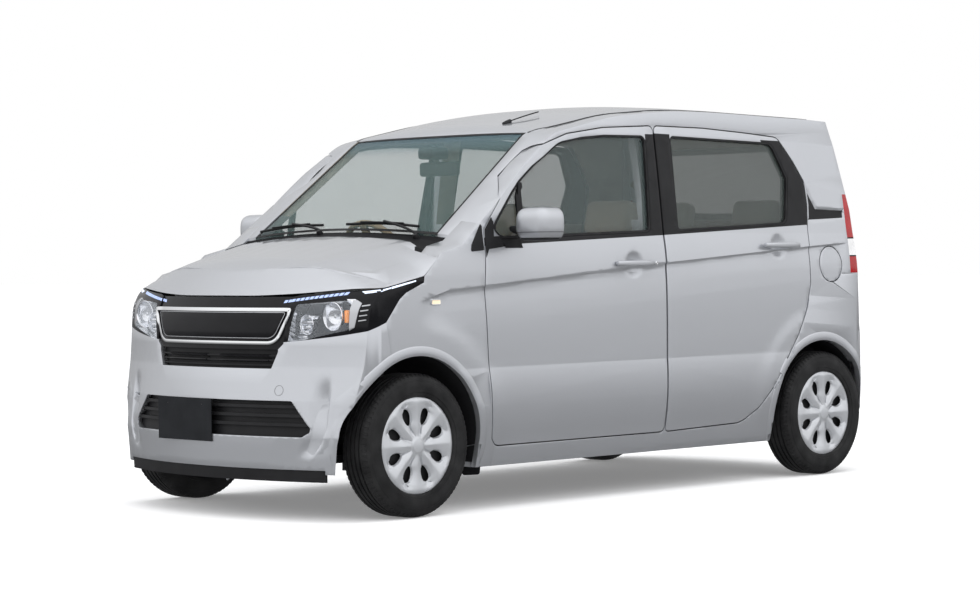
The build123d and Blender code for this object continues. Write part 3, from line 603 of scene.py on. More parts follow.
def rounded(obj: Piece, width: float, segments: int = 2, angle: float = 35.0) -> None:
    """Round the sharp edges of a mesh and smooth it by angle.

    Args:
        obj: The object.
        width: Width of the round.
        segments: Faces across it.
        angle: Edges sharper than this, in degrees, are rounded.
    """
    bevel = obj.modifiers.new("round", "BEVEL")
    bevel.width = width
    bevel.segments = segments
    bevel.limit_method = "ANGLE"
    bevel.angle_limit = math.radians(angle)
    bevel.use_clamp_overlap = True
    apply(obj)
    smooth(obj)


def walled(obj: Piece, thick: float, offset: float = -1.0) -> None:
    """Give a sheet its thickness.

    Args:
        obj: The object.
        thick: The thickness.
        offset: -1 grows it behind the sheet, 1 in front.
    """
    wall = obj.modifiers.new("wall", "SOLIDIFY")
    wall.thickness = thick
    wall.offset = offset
    apply(obj)


def voxels(obj: Piece, size: float) -> None:
    """Add a remesh into cells, left to be applied.

    Args:
        obj: The object.
        size: Size of a cell.
    """
    remesh = obj.modifiers.new("cells", "REMESH")
    remesh.mode = "VOXEL"
    remesh.voxel_size = size


def smooth(obj: Piece, angle: float = 40.0) -> None:
    """Smooth the shading across edges flatter than an angle in degrees."""
    take(obj)
    bpy.ops.object.shade_smooth_by_angle(angle=math.radians(angle))


def coat(obj: Piece, finish: Finish) -> None:
    """Give a piece its only finish."""
    obj.data.materials.clear()
    obj.data.materials.append(finish.material())


def dressed(obj: Piece, finish: Finish, body: Body, *nodes: str) -> None:
    """Give a piece one finish and the body that it rides on.

    Args:
        obj: The object.
        finish: The finish.
        body: The body.
        nodes: CAD nodes that the piece replaces.
    """
    coat(obj, finish)
    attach(obj, body.value)
    if nodes:
        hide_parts(*nodes)
    LOG.info("%s on %s", obj.name, body.value)


def mirrored(obj: Piece, name: str) -> Piece:
    """A copy on the other side of the car.

    Args:
        obj: The object to copy.
        name: The copy's name.

    Returns:
        The copy.
    """
    mesh = obj.data.copy()
    mesh.transform(Matrix.Scale(-1, 4, (1, 0, 0)))
    mesh.flip_normals()
    return linked(name, mesh)


def joined(pieces: Sequence[Piece], name: str) -> Piece:
    """Join like pieces of one body into one object.

    Args:
        pieces: The objects.
        name: The joined piece's name.

    Returns:
        The object.
    """
    take(pieces[0])
    for piece in pieces[1:]:
        piece.select_set(True)
    bpy.ops.object.join()
    return made(name)


def copy_node(node: str, name: str) -> Piece:
    """A merged copy of a CAD node's mesh.

    Args:
        node: The CAD node.
        name: The new piece's name.

    Returns:
        The copy.
    """
    obj = linked(name, FRAME["nodes"][node].data.copy())
    edit(obj)
    bpy.ops.mesh.remove_doubles(threshold=0.00002)
    bpy.ops.mesh.customdata_custom_splitnormals_clear()
    bpy.ops.mesh.dissolve_degenerate(threshold=0.00002)
    close()
    return obj


def cuts(obj: Piece, planes: Sequence[Plane], test: FaceTest = lambda c, n: True) -> None:
    """Cut faces along planes, and keep both sides.

    Args:
        obj: The object.
        planes: A point and a normal of each plane.
        test: Which faces are cut, all of them without it.
    """
    edit(obj)
    for point, normal in planes:
        pick(obj, test)
        bpy.ops.mesh.bisect(plane_co=tuple(point), plane_no=tuple(normal))
    close()


def paint(obj: Piece, finish: Finish, test: FaceTest) -> None:
    """Give the faces that pass a test another finish.

    Args:
        obj: The object.
        finish: The finish.
        test: Called with each face's centre and normal.
    """
    obj.data.materials.append(finish.material())
    slot = len(obj.data.materials) - 1
    for face in obj.data.polygons:
        if test(face.center, face.normal):
            face.material_index = slot


def reshape(obj: Piece, shape: Callable[[Vector], Vector]) -> None:
    """Move every vertex by a rule.

    Args:
        obj: The object.
        shape: Gives a vertex's new place.
    """
    for vertex in obj.data.vertices:
        vertex.co = shape(vertex.co)
    obj.data.update()


def levels(axis: int, places: Iterable[float]) -> list[Plane]:
    """Planes square to an axis."""
    way = tuple(float(k == axis) for k in range(3))
    return [(tuple(place * share for share in way), way) for place in places]


def sheet(name: str, points: Sequence[Point]) -> Piece:
    """One flat face through points, made from a ring of edges.

    Args:
        name: The piece's name.
        points: Its corners in order.

    Returns:
        The object.
    """
    count = len(points)
    obj = meshed(name, points, [(k, (k + 1) % count) for k in range(count)])
    edit(obj, kind="VERT")
    bpy.ops.mesh.edge_face_add()
    close()
    return obj


def prism(name: str, points: Sequence[Point], depth: Point, round_by: float = 0.0) -> Piece:
    """A face through points, extruded along a vector.

    Args:
        name: The piece's name.
        points: Corners of the face.
        depth: The extrusion.
        round_by: Radius of its edges.

    Returns:
        The object.
    """
    obj = sheet(name, points)
    edit(obj)
    bpy.ops.mesh.extrude_region_move(TRANSFORM_OT_translate={"value": depth})
    bpy.ops.mesh.select_all(action="SELECT")
    bpy.ops.mesh.normals_make_consistent(inside=False)
    close()
    if round_by > 0:
        rounded(obj, round_by)
    return obj


def turned(name: str, rows: Sequence[Point2], at: Point, axis: Point = (1, 0, 0),
           steps: int = 96) -> Piece:
    """A closed profile spun about an axis.

    Args:
        name: The piece's name.
        rows: Distance along the axis and radius of each point of the profile.
        at: The axis point that the distances start from.
        axis: The axis.
        steps: Segments round it.

    Returns:
        The object.
    """
    way = Vector(axis).normalized()
    across = Vector((0, 0, 1)) if abs(way.x) > 0.99 else way.orthogonal().normalized()
    count = len(rows)
    obj = meshed(name, [Vector(at) + way * x + across * r for x, r in rows],
                 [(k, (k + 1) % count) for k in range(count)])
    take(obj)
    bpy.ops.object.mode_set(mode="EDIT")
    bpy.ops.mesh.select_all(action="SELECT")
    bpy.ops.mesh.spin(steps=steps, angle=math.tau, center=tuple(at), axis=tuple(way))
    bpy.ops.mesh.select_all(action="SELECT")
    bpy.ops.mesh.remove_doubles(threshold=0.00005)
    bpy.ops.mesh.normals_make_consistent(inside=False)
    close()
    smooth(obj, 30.0)
    return obj


def tube(name: str, points: Sequence[Point], radius: float) -> Piece:
    """A round bar along points, with closed ends.

    Args:
        name: The piece's name.
        points: Its middle line.
        radius: Its radius.

    Returns:
        The object.
    """
    curve = bpy.data.curves.new(name, "CURVE")
    curve.dimensions = "3D"
    curve.bevel_depth = radius
    curve.bevel_resolution = 2
    curve.use_fill_caps = True
    curve.resolution_u = 6
    line = curve.splines.new("NURBS")
    line.points.add(len(points) - 1)
    for point, place in zip(line.points, points):
        point.co = (*place, 1.0)
    line.order_u = min(3, len(points))
    line.use_endpoint_u = True
    take(linked(name, curve))
    bpy.ops.object.convert(target="MESH")
    obj = made(name)
    smooth(obj, 45.0)
    return obj


def rim(node: str, name: str, width: float, thick: float, outside: FaceTest) -> Piece:
    """A band along the edge of a node's outer face.

    Args:
        node: The CAD node.
        name: The piece's name.
        width: Width of the band.
        thick: How far it stands off the face.
        outside: Which faces are the node's outer face.

    Returns:
        The band.
    """
    obj = copy_node(node, name)
    edit(obj, "DESELECT")
    pick(obj, lambda centre, normal: not outside(centre, normal))
    bpy.ops.mesh.delete(type="FACE")
    bpy.ops.mesh.select_all(action="SELECT")
    bpy.ops.mesh.inset(thickness=width, use_boundary=True, use_even_offset=True)
    bpy.ops.mesh.delete(type="FACE")
    close()
    walled(obj, thick, 1.0)
    smooth(obj, 35.0)
    return obj


def eased(value: float, low: float, high: float) -> float:
    """A smooth step from 0 at low to 1 at high."""
    t = min(1.0, max(0.0, (value - low) / (high - low)))
    return t * t * (3 - 2 * t)


def along(rows: Sequence[Point2], value: float) -> float:
    """Straight-line reading of a short table.

    Args:
        rows: Pairs in rising order of the first number.
        value: The first number that is looked up.

    Returns:
        The second number.
    """
    if value <= rows[0][0]:
        return rows[0][1]
    for (a0, b0), (a1, b1) in zip(rows, rows[1:]):
        if value <= a1:
            return b0 + (b1 - b0) * (value - a0) / (a1 - a0)
    return rows[-1][1]


def within(outline: Sequence[Point2], a: float, b: float) -> bool:
    """Whether a point lies inside a flat outline.

    Args:
        outline: Corners in order.
        a: First coordinate of the point.
        b: Second one.

    Returns:
        True if it does.
    """
    odd = False
    for (a0, b0), (a1, b1) in zip(outline, [*outline[1:], outline[0]]):
        if (b0 > b) != (b1 > b) and a < a0 + (a1 - a0) * (b - b0) / (b1 - b0):
            odd = not odd
    return odd


def on_side(points: Iterable[Point2], side: int) -> list[Point2]:
    """An outline of the car's left, on either side."""
    return [(side * x, z) for x, z in points]


def rounded_outline(points: Sequence[Point2], radius: float | Sequence[float],
                    steps: int = 6) -> list[Point2]:
    """A flat outline with its corners rounded.

    Args:
        points: Corners in order.
        radius: One radius or one for each corner.
        steps: Segments round each corner.

    Returns:
        The outline's points.
    """
    radii = [radius] * len(points) if isinstance(radius, (int, float)) else list(radius)
    out: list[Point2] = []
    for k, (here, r) in enumerate(zip(points, radii)):
        b = Vector(here)
        a, c = Vector(points[k - 1]), Vector(points[(k + 1) % len(points)])
        if r <= 0:
            out.append(tuple(b))
            continue
        u, v = (a - b).normalized(), (c - b).normalized()
        half = u.angle(v) / 2
        reach = min(r / math.tan(half), (a - b).length * 0.49, (c - b).length * 0.49)
        for n in range(steps + 1):
            t = n / steps
            p = (b + u * reach) * (1 - t) ** 2 + b * 2 * t * (1 - t) + (b + v * reach) * t ** 2
            out.append(tuple(p))
    return out


class Surface:
    """Outer surface of some pieces, which trim is set on."""

    def __init__(self, *pieces: Piece) -> None:
        """Gather the pieces' faces.

        Args:
            pieces: The objects.
        """
        verts: list[Vector] = []
        faces: list[list[int]] = []
        for piece in pieces:
            start = len(verts)
            verts += [v.co.copy() for v in piece.data.vertices]
            faces += [[start + k for k in face.vertices] for face in piece.data.polygons]
        self.tree = BVHTree.FromPolygons(verts, faces)

    @classmethod
    def over(cls, *nodes: str) -> Surface:
        """The surface of some CAD nodes."""
        return cls(*(FRAME["nodes"][node] for node in nodes))

    def hit(self, point: Point, axis: int, side: int) -> tuple[Vector, Vector]:
        """Where a look along an axis meets the surface.

        Args:
            point: A point on the line of sight.
            axis: The axis, 0 to 2.
            side: 1 looks from the positive end, -1 from the negative one.

        Returns:
            The place and the normal there.
        """
        start = Vector(point)
        start[axis] = side * 3.0
        way = Vector((0, 0, 0))
        way[axis] = -side
        place, normal, _, _ = self.tree.ray_cast(start, way)
        if place is None:
            place, normal, _, _ = self.tree.find_nearest(Vector(point))
        if normal[axis] * side < 0:
            normal = -normal
        return place, normal

    def off(self, point: Point, axis: int, side: int, lift: float) -> Vector:
        """The place that a look along an axis meets, lifted off the surface."""
        place, normal = self.hit(point, axis, side)
        return place + normal * lift


@dataclass
class Patch:
    """A thin plate that follows a surface inside an outline seen along one axis."""

    name: str
    outline: Sequence[Point2]
    axis: int
    side: int
    lift: float = 0.001
    thick: float = 0.003
    grid: float = 0.03
    edge: float = 0.0
    band: float = 0.0

    def build(self, surface: Surface) -> Piece:
        """Lay the plate.

        Args:
            surface: What it lies on.

        Returns:
            The plate.
        """
        spans = [k for k in range(3) if k != self.axis]
        points = []
        for corner in self.outline:
            point = list(corner)
            point.insert(self.axis, self.side * 1.0)
            points.append(tuple(point))
        obj = sheet(self.name, points)
        if self.band > 0:
            edit(obj)
            bpy.ops.mesh.inset(thickness=self.band, use_even_offset=True)
            bpy.ops.mesh.delete(type="FACE")
            close()
        planes: list[Plane] = []
        for k, column in zip(spans, zip(*self.outline)):
            low, high = min(column), max(column)
            count = int((high - low) / self.grid)
            planes += levels(k, (low + (high - low) * n / (count + 1) for n in range(1, count + 1)))
        if planes:
            cuts(obj, planes)
        facing = sum(face.normal[self.axis] for face in obj.data.polygons)
        if facing * self.side < 0:
            obj.data.flip_normals()
        reshape(obj, lambda co: surface.off(co, self.axis, self.side, self.lift))
        walled(obj, self.thick)
        if self.edge > 0:
            rounded(obj, self.edge, 2, 50.0)
        smooth(obj, 38.0)
        return obj

    def dress(self, surface: Surface, finish: Finish, body: Body = Body.SHELL) -> None:
        """Lay the plate and give it its finish and body."""
        dressed(self.build(surface), finish, body)

    @classmethod
    def group(cls, name: str, outlines: Iterable[Sequence[Point2]], axis: int, side: int,
              sizes: Sequence[float], surface: Surface, finish: Finish) -> None:
        """Lay like plates on the shell as one piece.

        Args:
            name: The piece's name.
            outlines: Outline of each plate.
            axis: The axis that they are seen along.
            side: The end that they are seen from.
            sizes: Lift, thickness and so on, as each plate takes them.
            surface: What they lie on.
            finish: Their finish.
        """
        plates = [cls(f"{name}_{k}", outline, axis, side, *sizes).build(surface)
                  for k, outline in enumerate(outlines)]
        dressed(joined(plates, name), finish, Body.SHELL)


# ------------------------------------------------------------------ painted panels
@dataclass(frozen=True)
class Flank:
    """Shape of the painted side: its section, the character line and the flares of the arches."""

    half: float = 0.7375
    section_rows: Rows = (
        (0.060, 0.110), (0.012, 0.300), (0.001, 0.560), (0.0005, 0.740), (0.004, 0.900),
        (0.010, 0.990), (0.025, 1.085), (0.058, 1.310), (0.097, 1.545))
    line: Rows = ((-1.222, 0.826), (-1.065, 0.868), (0.213, 0.963), (1.198, 1.027), (1.500, 1.044))
    ledge: Rows = (
        (0.0, 0.0), (0.008, 0.0052), (0.024, 0.0064), (0.045, 0.0060), (0.085, 0.0048),
        (0.150, 0.0040), (0.30, 0.0046), (0.55, 0.0040))
    arches: tuple[Point, ...] = ((-1.228, 0.283, 0.338), (1.272, 0.272, 0.334))
    bowls: tuple[tuple[float, float, float, float], ...] = (
        (0.020, 0.957, 0.060, 0.0125), (0.985, 1.028, 0.060, 0.0125))
    span: Point2 = (-1.405, 1.500)
    top: float = 1.500
    low: float = 0.190
    step: float = 0.032

    def section(self, z: float) -> float:
        """Half width of the body at a height.

        Args:
            z: The height.

        Returns:
            The distance from the middle plane.
        """
        rows = self.section_rows
        start = next((k for k in range(0, 6, 2) if z <= rows[k + 2][1]), 6)
        (a, za), (b, zb), (c, zc) = rows[start:start + 3]
        pull = (a * (z - zb) * (z - zc) / ((za - zb) * (za - zc))
                + b * (z - za) * (z - zc) / ((zb - za) * (zb - zc))
                + c * (z - za) * (z - zb) / ((zc - za) * (zc - zb)))
        return self.half - pull

    def inward(self, y: float, z: float) -> float:
        """How far the skin stands in from the section.

        Args:
            y: Place along the car.
            z: The height.

        Returns:
            The distance.
        """
        dent = 0.0
        for yb, zb, reach, deep in self.bowls:
            away = math.hypot(y - yb, z - zb) / reach
            if away < 1.0:
                dent = deep * (1 - away * away) ** 1.4
        below = along(self.line, y) - z
        if below <= 0:
            return dent
        pull = along(self.ledge, below)
        for ya, za, _ in self.arches:
            reach = math.hypot(y - ya, z - za)
            pull *= eased(reach, 0.425, 0.500)
        pull *= eased(y, self.line[0][0], self.line[0][0] + 0.09)
        pull *= 1 - eased(y, self.line[-1][0] - 0.10, self.line[-1][0] - 0.01)
        return dent + pull * eased(z, 0.200, 0.290)

    def x(self, y: float, z: float) -> float:
        """Half width of the shaped skin."""
        return self.section(z) - self.inward(y, z)

    def on_skin(self, point: Vector) -> bool:
        """Whether a point lies on the plain outer surface of the side."""
        return (self.span[0] < point.y < self.span[1] and self.low < point.z < self.top
                and abs(abs(point.x) - self.section(point.z)) < 0.0016)

    def shape(self, obj: Piece, side: int) -> None:
        """Cut a panel's outer skin into a grid and give it the side's shape.

        Args:
            obj: The panel.
            side: 1 is the car's left.
        """
        mesh = obj.data
        marked = {face.index for face in mesh.polygons
                  if face.normal.x * side > 0.6
                  and all(self.on_skin(mesh.vertices[k].co) for k in face.vertices)}
        if not marked:
            return
        while len(mesh.materials) < 2:
            mesh.materials.append(None)
        for face in mesh.polygons:
            face.material_index = 1 if face.index in marked else 0
        ys = [mesh.vertices[k].co.y for i in marked for k in mesh.polygons[i].vertices]
        zs = [mesh.vertices[k].co.z for i in marked for k in mesh.polygons[i].vertices]
        y_low, y_high, z_low, z_high = min(ys), max(ys), min(zs), max(zs)
        count = math.ceil((y_high - y_low) / self.step)
        lines = sorted([y for y, _ in self.line if y_low < y < y_high]
                       + [y_low + (y_high - y_low) * n / count for n in range(1, count)])
        rows = [((0, y, 0), (0, 1, 0), -9.0, 9.0) for y in lines]
        count = math.ceil((z_high - z_low) / self.step)
        rows += [((0, 0, z_low + (z_high - z_low) * n / count), (0, 0, 1), -9.0, 9.0)
                 for n in range(1, count)]
        for (y0, z0), (y1, z1) in zip(self.line, self.line[1:]):
            if y1 < y_low or y0 > y_high:
                continue
            for down in (0.0, 0.004, 0.009, 0.016, 0.026, 0.045, 0.070):
                rows.append(((0, y0, z0 - down), (0, z0 - z1, y1 - y0), y0, y1))
        for yb, zb, reach, _ in self.bowls:
            if not y_low < yb < y_high:
                continue
            span = (yb - reach * 1.3, yb + reach * 1.3)
            for k in range(-4, 5):
                rows.append(((0, yb + reach * k / 4, 0), (0, 1, 0), *span))
                rows.append(((0, 0, zb + reach * k / 4), (0, 0, 1), *span))
        edit(obj, "DESELECT")
        for point, normal, y0, y1 in rows:
            cage = bmesh.from_edit_mesh(mesh)
            for face in cage.faces:
                face.select_set(face.material_index == 1
                                and y0 <= face.calc_center_median().y <= y1)
            bmesh.update_edit_mesh(mesh)
            bpy.ops.mesh.bisect(plane_co=point, plane_no=normal)
        close()
        touched = {k for face in mesh.polygons if face.material_index == 1 for k in face.vertices}
        for k in touched:
            co = mesh.vertices[k].co
            co.x = side * self.x(co.y, co.z)
        for face in mesh.polygons:
            face.material_index = 0
        mesh.update()


@dataclass(frozen=True)
class HoodForm:
    """Creases and soft shoulders of the hood."""

    crease: Rows = (
        (-1.549, 0.344), (-1.499, 0.350), (-1.450, 0.394), (-1.262, 0.442), (-0.999, 0.551))
    border: Rows = ((-1.596, 0.851), (-1.382, 0.886), (-1.188, 0.926), (-1.008, 1.086))
    edge_x: float = 0.727
    fade: Point2 = (-1.560, -1.330)
    dip: float = 0.004

    def place(self, p: Vector, crown: Callable[[float, float], float]) -> Vector:
        """New place of a point of the hood's outer face.

        Args:
            p: The point.
            crown: Height of the hood's top over a point.

        Returns:
            The new place.
        """
        xc = along(self.crease, p.y)
        side = 1 if p.x > 0 else -1
        x = abs(p.x)
        full = eased(p.y, *self.fade)
        if x <= xc:
            near = eased(x, xc - 0.10, xc)
            return Vector((p.x, p.y, p.z - self.dip * full * (1 - near) * 0.6))
        low = along(self.border, p.y)
        top_c, top_e = crown(xc, p.y), crown(self.edge_x, p.y)
        run, fall = self.edge_x - xc, max(0.02, top_e - low)
        t = ((x - xc) + max(0.0, crown(x, p.y) - p.z)) / (run + fall)
        t = min(1.0, max(0.0, t))
        start = Vector((xc, top_c))
        end = Vector((self.edge_x + 0.004, low))
        corner = Vector((self.edge_x - 0.035, (top_e * 0.72 + low * 0.28)))
        bow = start * (1 - t) ** 2 + corner * 2 * t * (1 - t) + end * t ** 2
        return Vector((side * (x + (bow.x - x) * full), p.y, p.z + (bow.y - p.z) * full))


@dataclass
class Panel:
    """One painted CAD node with its edges rounded, as pressed sheet has."""

    node: str
    body: Body
    edge: float = 0.0022
    smooth: float = 32.0
    flank: Flank | None = None

    def build(self) -> Piece:
        """Copy, shape, round and paint the node.

        Returns:
            The panel.
        """
        obj = copy_node(self.node, self.node + "_skin")
        self.form(obj)
        obj.data.materials.clear()
        rounded(obj, self.edge, 2, 50.0)
        smooth(obj, self.smooth)
        dressed(obj, SILVER, self.body, self.node)
        return obj

    def form(self, obj: Piece) -> None:
        """Shape the panel before its edges are rounded.

        Args:
            obj: The panel.
        """
        if self.flank is None:
            return
        sides = {1 if v.co.x > 0 else -1 for v in obj.data.vertices}
        for side in sorted(sides):
            self.flank.shape(obj, side)


@dataclass
class FrontBumper(Panel):
    """The front bumper, with a hollow outboard of the lower intake on each side."""

    edge_rows: Rows = ((0.235, 0.545), (0.300, 0.588), (0.360, 0.604), (0.560, 0.612))
    reach: float = 0.090
    deep: float = 0.017

    def form(self, obj: Piece) -> None:
        """Grid the front and press the hollows in.

        Args:
            obj: The bumper.
        """
        planes = levels(2, (0.215 + 0.012 * k for k in range(32)))
        planes += levels(0, (side * (0.42 + 0.008 * k) for side in SIDES for k in range(27)))

        def front(centre: Vector, normal: Vector) -> bool:
            """Whether a face is on the front, round the intake."""
            return (normal.y < -0.2 and 0.36 < abs(centre.x) < 0.68 and 0.19 < centre.z < 0.62
                    and centre.y < -1.48)

        cuts(obj, planes, front)
        skin = {k for face in obj.data.polygons if front(face.center, face.normal)
                for k in face.vertices}
        for k in skin:
            co = obj.data.vertices[k].co
            edge = along(self.edge_rows, co.z)
            t = (abs(co.x) - (edge - self.reach)) / self.reach
            if not 0.0 < t < 1.0:
                continue
            press = eased(t, 0.0, 0.70) * (1 - eased(t, 0.70, 1.0))
            press *= eased(co.z, 0.232, 0.310) * (1 - eased(co.z, 0.450, 0.560))
            co.y += self.deep * press
        obj.data.update()


@dataclass
class Hood(Panel):
    """The hood, with two creases and rolled shoulders."""

    rule: HoodForm = field(default_factory=HoodForm)

    def form(self, obj: Piece) -> None:
        """Grid the outer face and roll the shoulders down.

        Args:
            obj: The panel.
        """
        mesh = obj.data
        tree = Surface(obj)
        heights: dict[Point2, float] = {}

        def crown(x: float, y: float) -> float:
            """Height of the plain hood over a point."""
            key = (round(x, 3), round(y, 3))
            if key not in heights:
                heights[key] = tree.hit((min(x, 0.722), y, 0), 2, 1)[0].z
            return heights[key]

        def outer(centre: Vector, normal: Vector) -> bool:
            """Whether a face belongs to the outside of the hood."""
            free = tree.tree.ray_cast(centre + normal * 0.002, normal)[0] is None
            return free and (normal.z > 0.15 or normal.y < -0.3 or abs(normal.x) > 0.5)

        spans = (range(-720, 721, 30), range(-1590, -1000, 28), range(870, 1080, 22))
        cuts(obj, [plane for axis, span in enumerate(spans)
                   for plane in levels(axis, (mm / 1000 for mm in span))], outer)
        skin = {k for face in mesh.polygons if outer(face.center, face.normal)
                for k in face.vertices}
        moves = {k: self.rule.place(mesh.vertices[k].co, crown) for k in skin}
        for k, place in moves.items():
            mesh.vertices[k].co = place
        mesh.update()


@dataclass(frozen=True)
class Opening:
    """Front edge of the front door's window, brought forward under the windshield pillar."""

    edge: Rows = (
        (1.064, -0.720), (1.122, -0.682), (1.300, -0.522), (1.461, -0.339), (1.500, -0.200))
    cut: Rows = (
        (1.030, -0.848), (1.104, -0.842), (1.239, -0.720), (1.372, -0.573), (1.446, -0.457),
        (1.500, -0.290))
    shift: Rows = (
        (1.036, 0.0), (1.058, 0.074), (1.064, 0.074), (1.122, 0.104), (1.153, 0.106),
        (1.250, 0.103), (1.300, 0.094), (1.360, 0.076), (1.400, 0.046), (1.461, 0.014),
        (1.482, 0.0))
    fade: float = 0.25

    def place(self, co: Vector) -> Vector:
        """New place of a point of the door or its glass.

        Args:
            co: The point.

        Returns:
            The new place.
        """
        edge, cut, shift = (along(rows, co.z) for rows in (self.edge, self.cut, self.shift))
        if co.y <= edge:
            share = max(0.0, (co.y - cut) / max(0.01, edge - cut))
        else:
            share = max(0.0, 1.0 - (co.y - edge) / self.fade)
        return Vector((co.x, co.y - shift * share, co.z))

    def fit(self, obj: Piece) -> None:
        """Cut a piece of the window into rows and bring its front edge forward."""
        cuts(obj, levels(2, (1.07 + 0.03 * k for k in range(1, 14))))
        reshape(obj, self.place)


@dataclass
class DoorPanel(Panel):
    """A door: painted skin and upper sash, black sash beside the glass and a trim card."""

    belt: Point = (-0.846, 1.046, 0.0452)
    posts: tuple[tuple[tuple[Point2, Point2], int], ...] = ()
    head: tuple[Point2, Point2] = ((-0.3, 1.49), (0.2, 1.50))
    strip: float = 0.034
    opening: Opening | None = None

    def form(self, obj: Piece) -> None:
        """Shape the skin and set the window's front edge.

        Args:
            obj: The door.
        """
        super().form(obj)
        if self.opening:
            reshape(obj, self.opening.place)

    def build(self) -> Piece:
        """Build the panel, then paint the sash and the trim side.

        Returns:
            The door.
        """
        obj = super().build()
        y, z, rise = self.belt
        belt_at, belt_up = Vector((0, y, z)), Vector((0, -rise, 1)).normalized()
        posts = [(*self.line(ends), way) for ends, way in self.posts]
        (hy0, hz0), (hy1, hz1) = self.head
        head_at, head_up = Vector((0, hy0, hz0)), Vector((0, hz0 - hz1, hy1 - hy0)).normalized()
        cuts(obj, [(belt_at, belt_up), (head_at, head_up)] + [(at, out) for at, out, _ in posts])
        smooth(obj, self.smooth)
        side = 1 if obj.data.vertices[0].co.x > 0 else -1

        def black(centre: Vector, normal: Vector) -> bool:
            """Whether a face belongs to the black sash."""
            above = (centre - belt_at).dot(belt_up) > 0
            beyond = any((centre - at).dot(out) * way > 0 for at, out, way in posts)
            under = (centre - head_at).dot(head_up) < 0
            strip = (centre - belt_at).dot(belt_up) < self.strip
            return above and under and (beyond or strip)

        def card(centre: Vector, normal: Vector) -> bool:
            """Whether a face belongs to the trim side below the glass."""
            return normal.x * side < -0.5 and (centre - belt_at).dot(belt_up) <= 0.03

        paint(obj, SATIN_BLACK, black)
        paint(obj, TRIM_GREIGE, card)
        paint(obj, SATIN_BLACK,
              lambda c, n: n.x * side < -0.5 and (c - belt_at).dot(belt_up) > 0.03)
        return obj

    @staticmethod
    def line(ends: tuple[Point2, Point2]) -> tuple[Vector, Vector]:
        """A plane through a line in side view."""
        (y0, z0), (y1, z1) = ends
        return Vector((0, y0, z0)), Vector((0, z1 - z0, y0 - y1)).normalized()


@dataclass
class BodyWork:
    """Every painted panel of the shell and of what opens on it."""

    flank: Flank = field(default_factory=Flank)
    shelled: tuple[str, ...] = ("side_l", "side_r", "fenders")
    plain: tuple[str, ...] = ("roof", "rear_bumper")
    opening: Opening = field(default_factory=Opening)
    pieces: dict[str, Piece] = field(default_factory=dict)
    panes: list[Piece] = field(default_factory=list)
    fin: Rows = ((1.214, 1.327), (1.289, 1.203), (1.489, 1.197), (1.484, 1.147), (1.214, 1.137))

    def build(self) -> None:
        """Build all the panels."""
        for node in self.shelled:
            self.pieces[node] = Panel(node, Body.SHELL, flank=self.flank).build()
            if node.startswith("side"):
                side = 1 if node.endswith("_l") else -1
                paint(self.pieces[node], TRIM_GREIGE,
                      lambda c, n: n.x * side < -0.35 and c.z > 0.5 and -0.80 < c.y < 1.42)
        for node in self.plain:
            self.pieces[node] = Panel(node, Body.SHELL).build()
        paint(self.pieces["roof"], TRIM_GREIGE,
              lambda c, n: n.z < -0.35 and abs(c.x) < 0.553 and -0.38 < c.y < 1.42)
        self.pieces["front_bumper"] = FrontBumper("front_bumper", Body.SHELL).build()
        for side, tail in SIDES.items():
            front, rear = Body.door("front", tail), Body.door("rear", tail)
            self.pieces["door_front_" + tail] = DoorPanel(
                "door_front_" + tail, front, flank=self.flank, belt=(-0.846, 1.039, 0.0373),
                posts=((((0.142, 1.090), (0.184, 1.500)), 1),),
                head=((-0.072, 1.503), (0.188, 1.506)), opening=self.opening).build()
            self.pane("glass_front_" + tail, front)
            self.pieces["door_rear_" + tail] = DoorPanel(
                "door_rear_" + tail, rear, flank=self.flank, belt=(0.225, 1.079, 0.0446),
                posts=((((0.318, 1.090), (0.342, 1.500)), -1),
                       (((1.062, 1.10), (0.951, 1.500)), 1)),
                head=((0.338, 1.509), (0.951, 1.499))).build()
            self.quarter(self.pieces["side_" + tail], side)
        self.pieces["hood"] = Hood("hood", Body.HOOD).build()
        self.pieces["tailgate"] = Panel("tailgate", Body.TAILGATE).build()
        paint(self.pieces["tailgate"], TRIM_GREIGE,
              lambda c, n: n.y < -0.35 and c.z > 0.70 and abs(c.x) < 0.57)
        self.pieces["fuel_lid"] = Panel("fuel_lid", Body.FUEL_LID, edge=0.001,
                                        flank=self.flank).build()

    def pane(self, node: str, body: Body) -> None:
        """The front door's glass, out to the opening's front edge.

        Args:
            node: The glass node.
            body: The door.
        """
        pane = copy_node(node, node + "_pane")
        self.opening.fit(pane)
        smooth(pane, 30.0)
        dressed(pane, SIDE_GLASS, body, node)
        self.panes.append(pane)

    def quarter(self, obj: Piece, side: int) -> None:
        """Sink and blacken the quarter panel under the fin.

        Args:
            obj: The side panel.
            side: 1 is the car's left.
        """
        outline = [Vector((0, y, z)) for y, z in self.fin]
        ring = list(zip(outline, outline[1:] + outline[:1]))

        def skin(centre: Vector, normal: Vector) -> bool:
            """Whether a face lies on the outer skin near the quarter panel."""
            return (normal.x * side > 0.5 and 1.13 < centre.y < 1.52 and 1.08 < centre.z < 1.40
                    and abs(abs(centre.x) - self.flank.section(centre.z)) < 0.004)

        cuts(obj, [(a, (0.0, b.z - a.z, a.y - b.y)) for a, b in ring], skin)
        edit(obj, "DESELECT")
        pick(obj, lambda c, n: skin(c, n) and within(self.fin, c.y, c.z))
        bpy.ops.mesh.inset(thickness=0.009, depth=-0.0055, use_boundary=True)
        obj.data.materials.append(SATIN_BLACK.material())
        cage = bmesh.from_edit_mesh(obj.data)
        for face in cage.faces:
            if face.select:
                face.material_index = len(obj.data.materials) - 1
        bmesh.update_edit_mesh(obj.data)
        close()
        smooth(obj, 32.0)


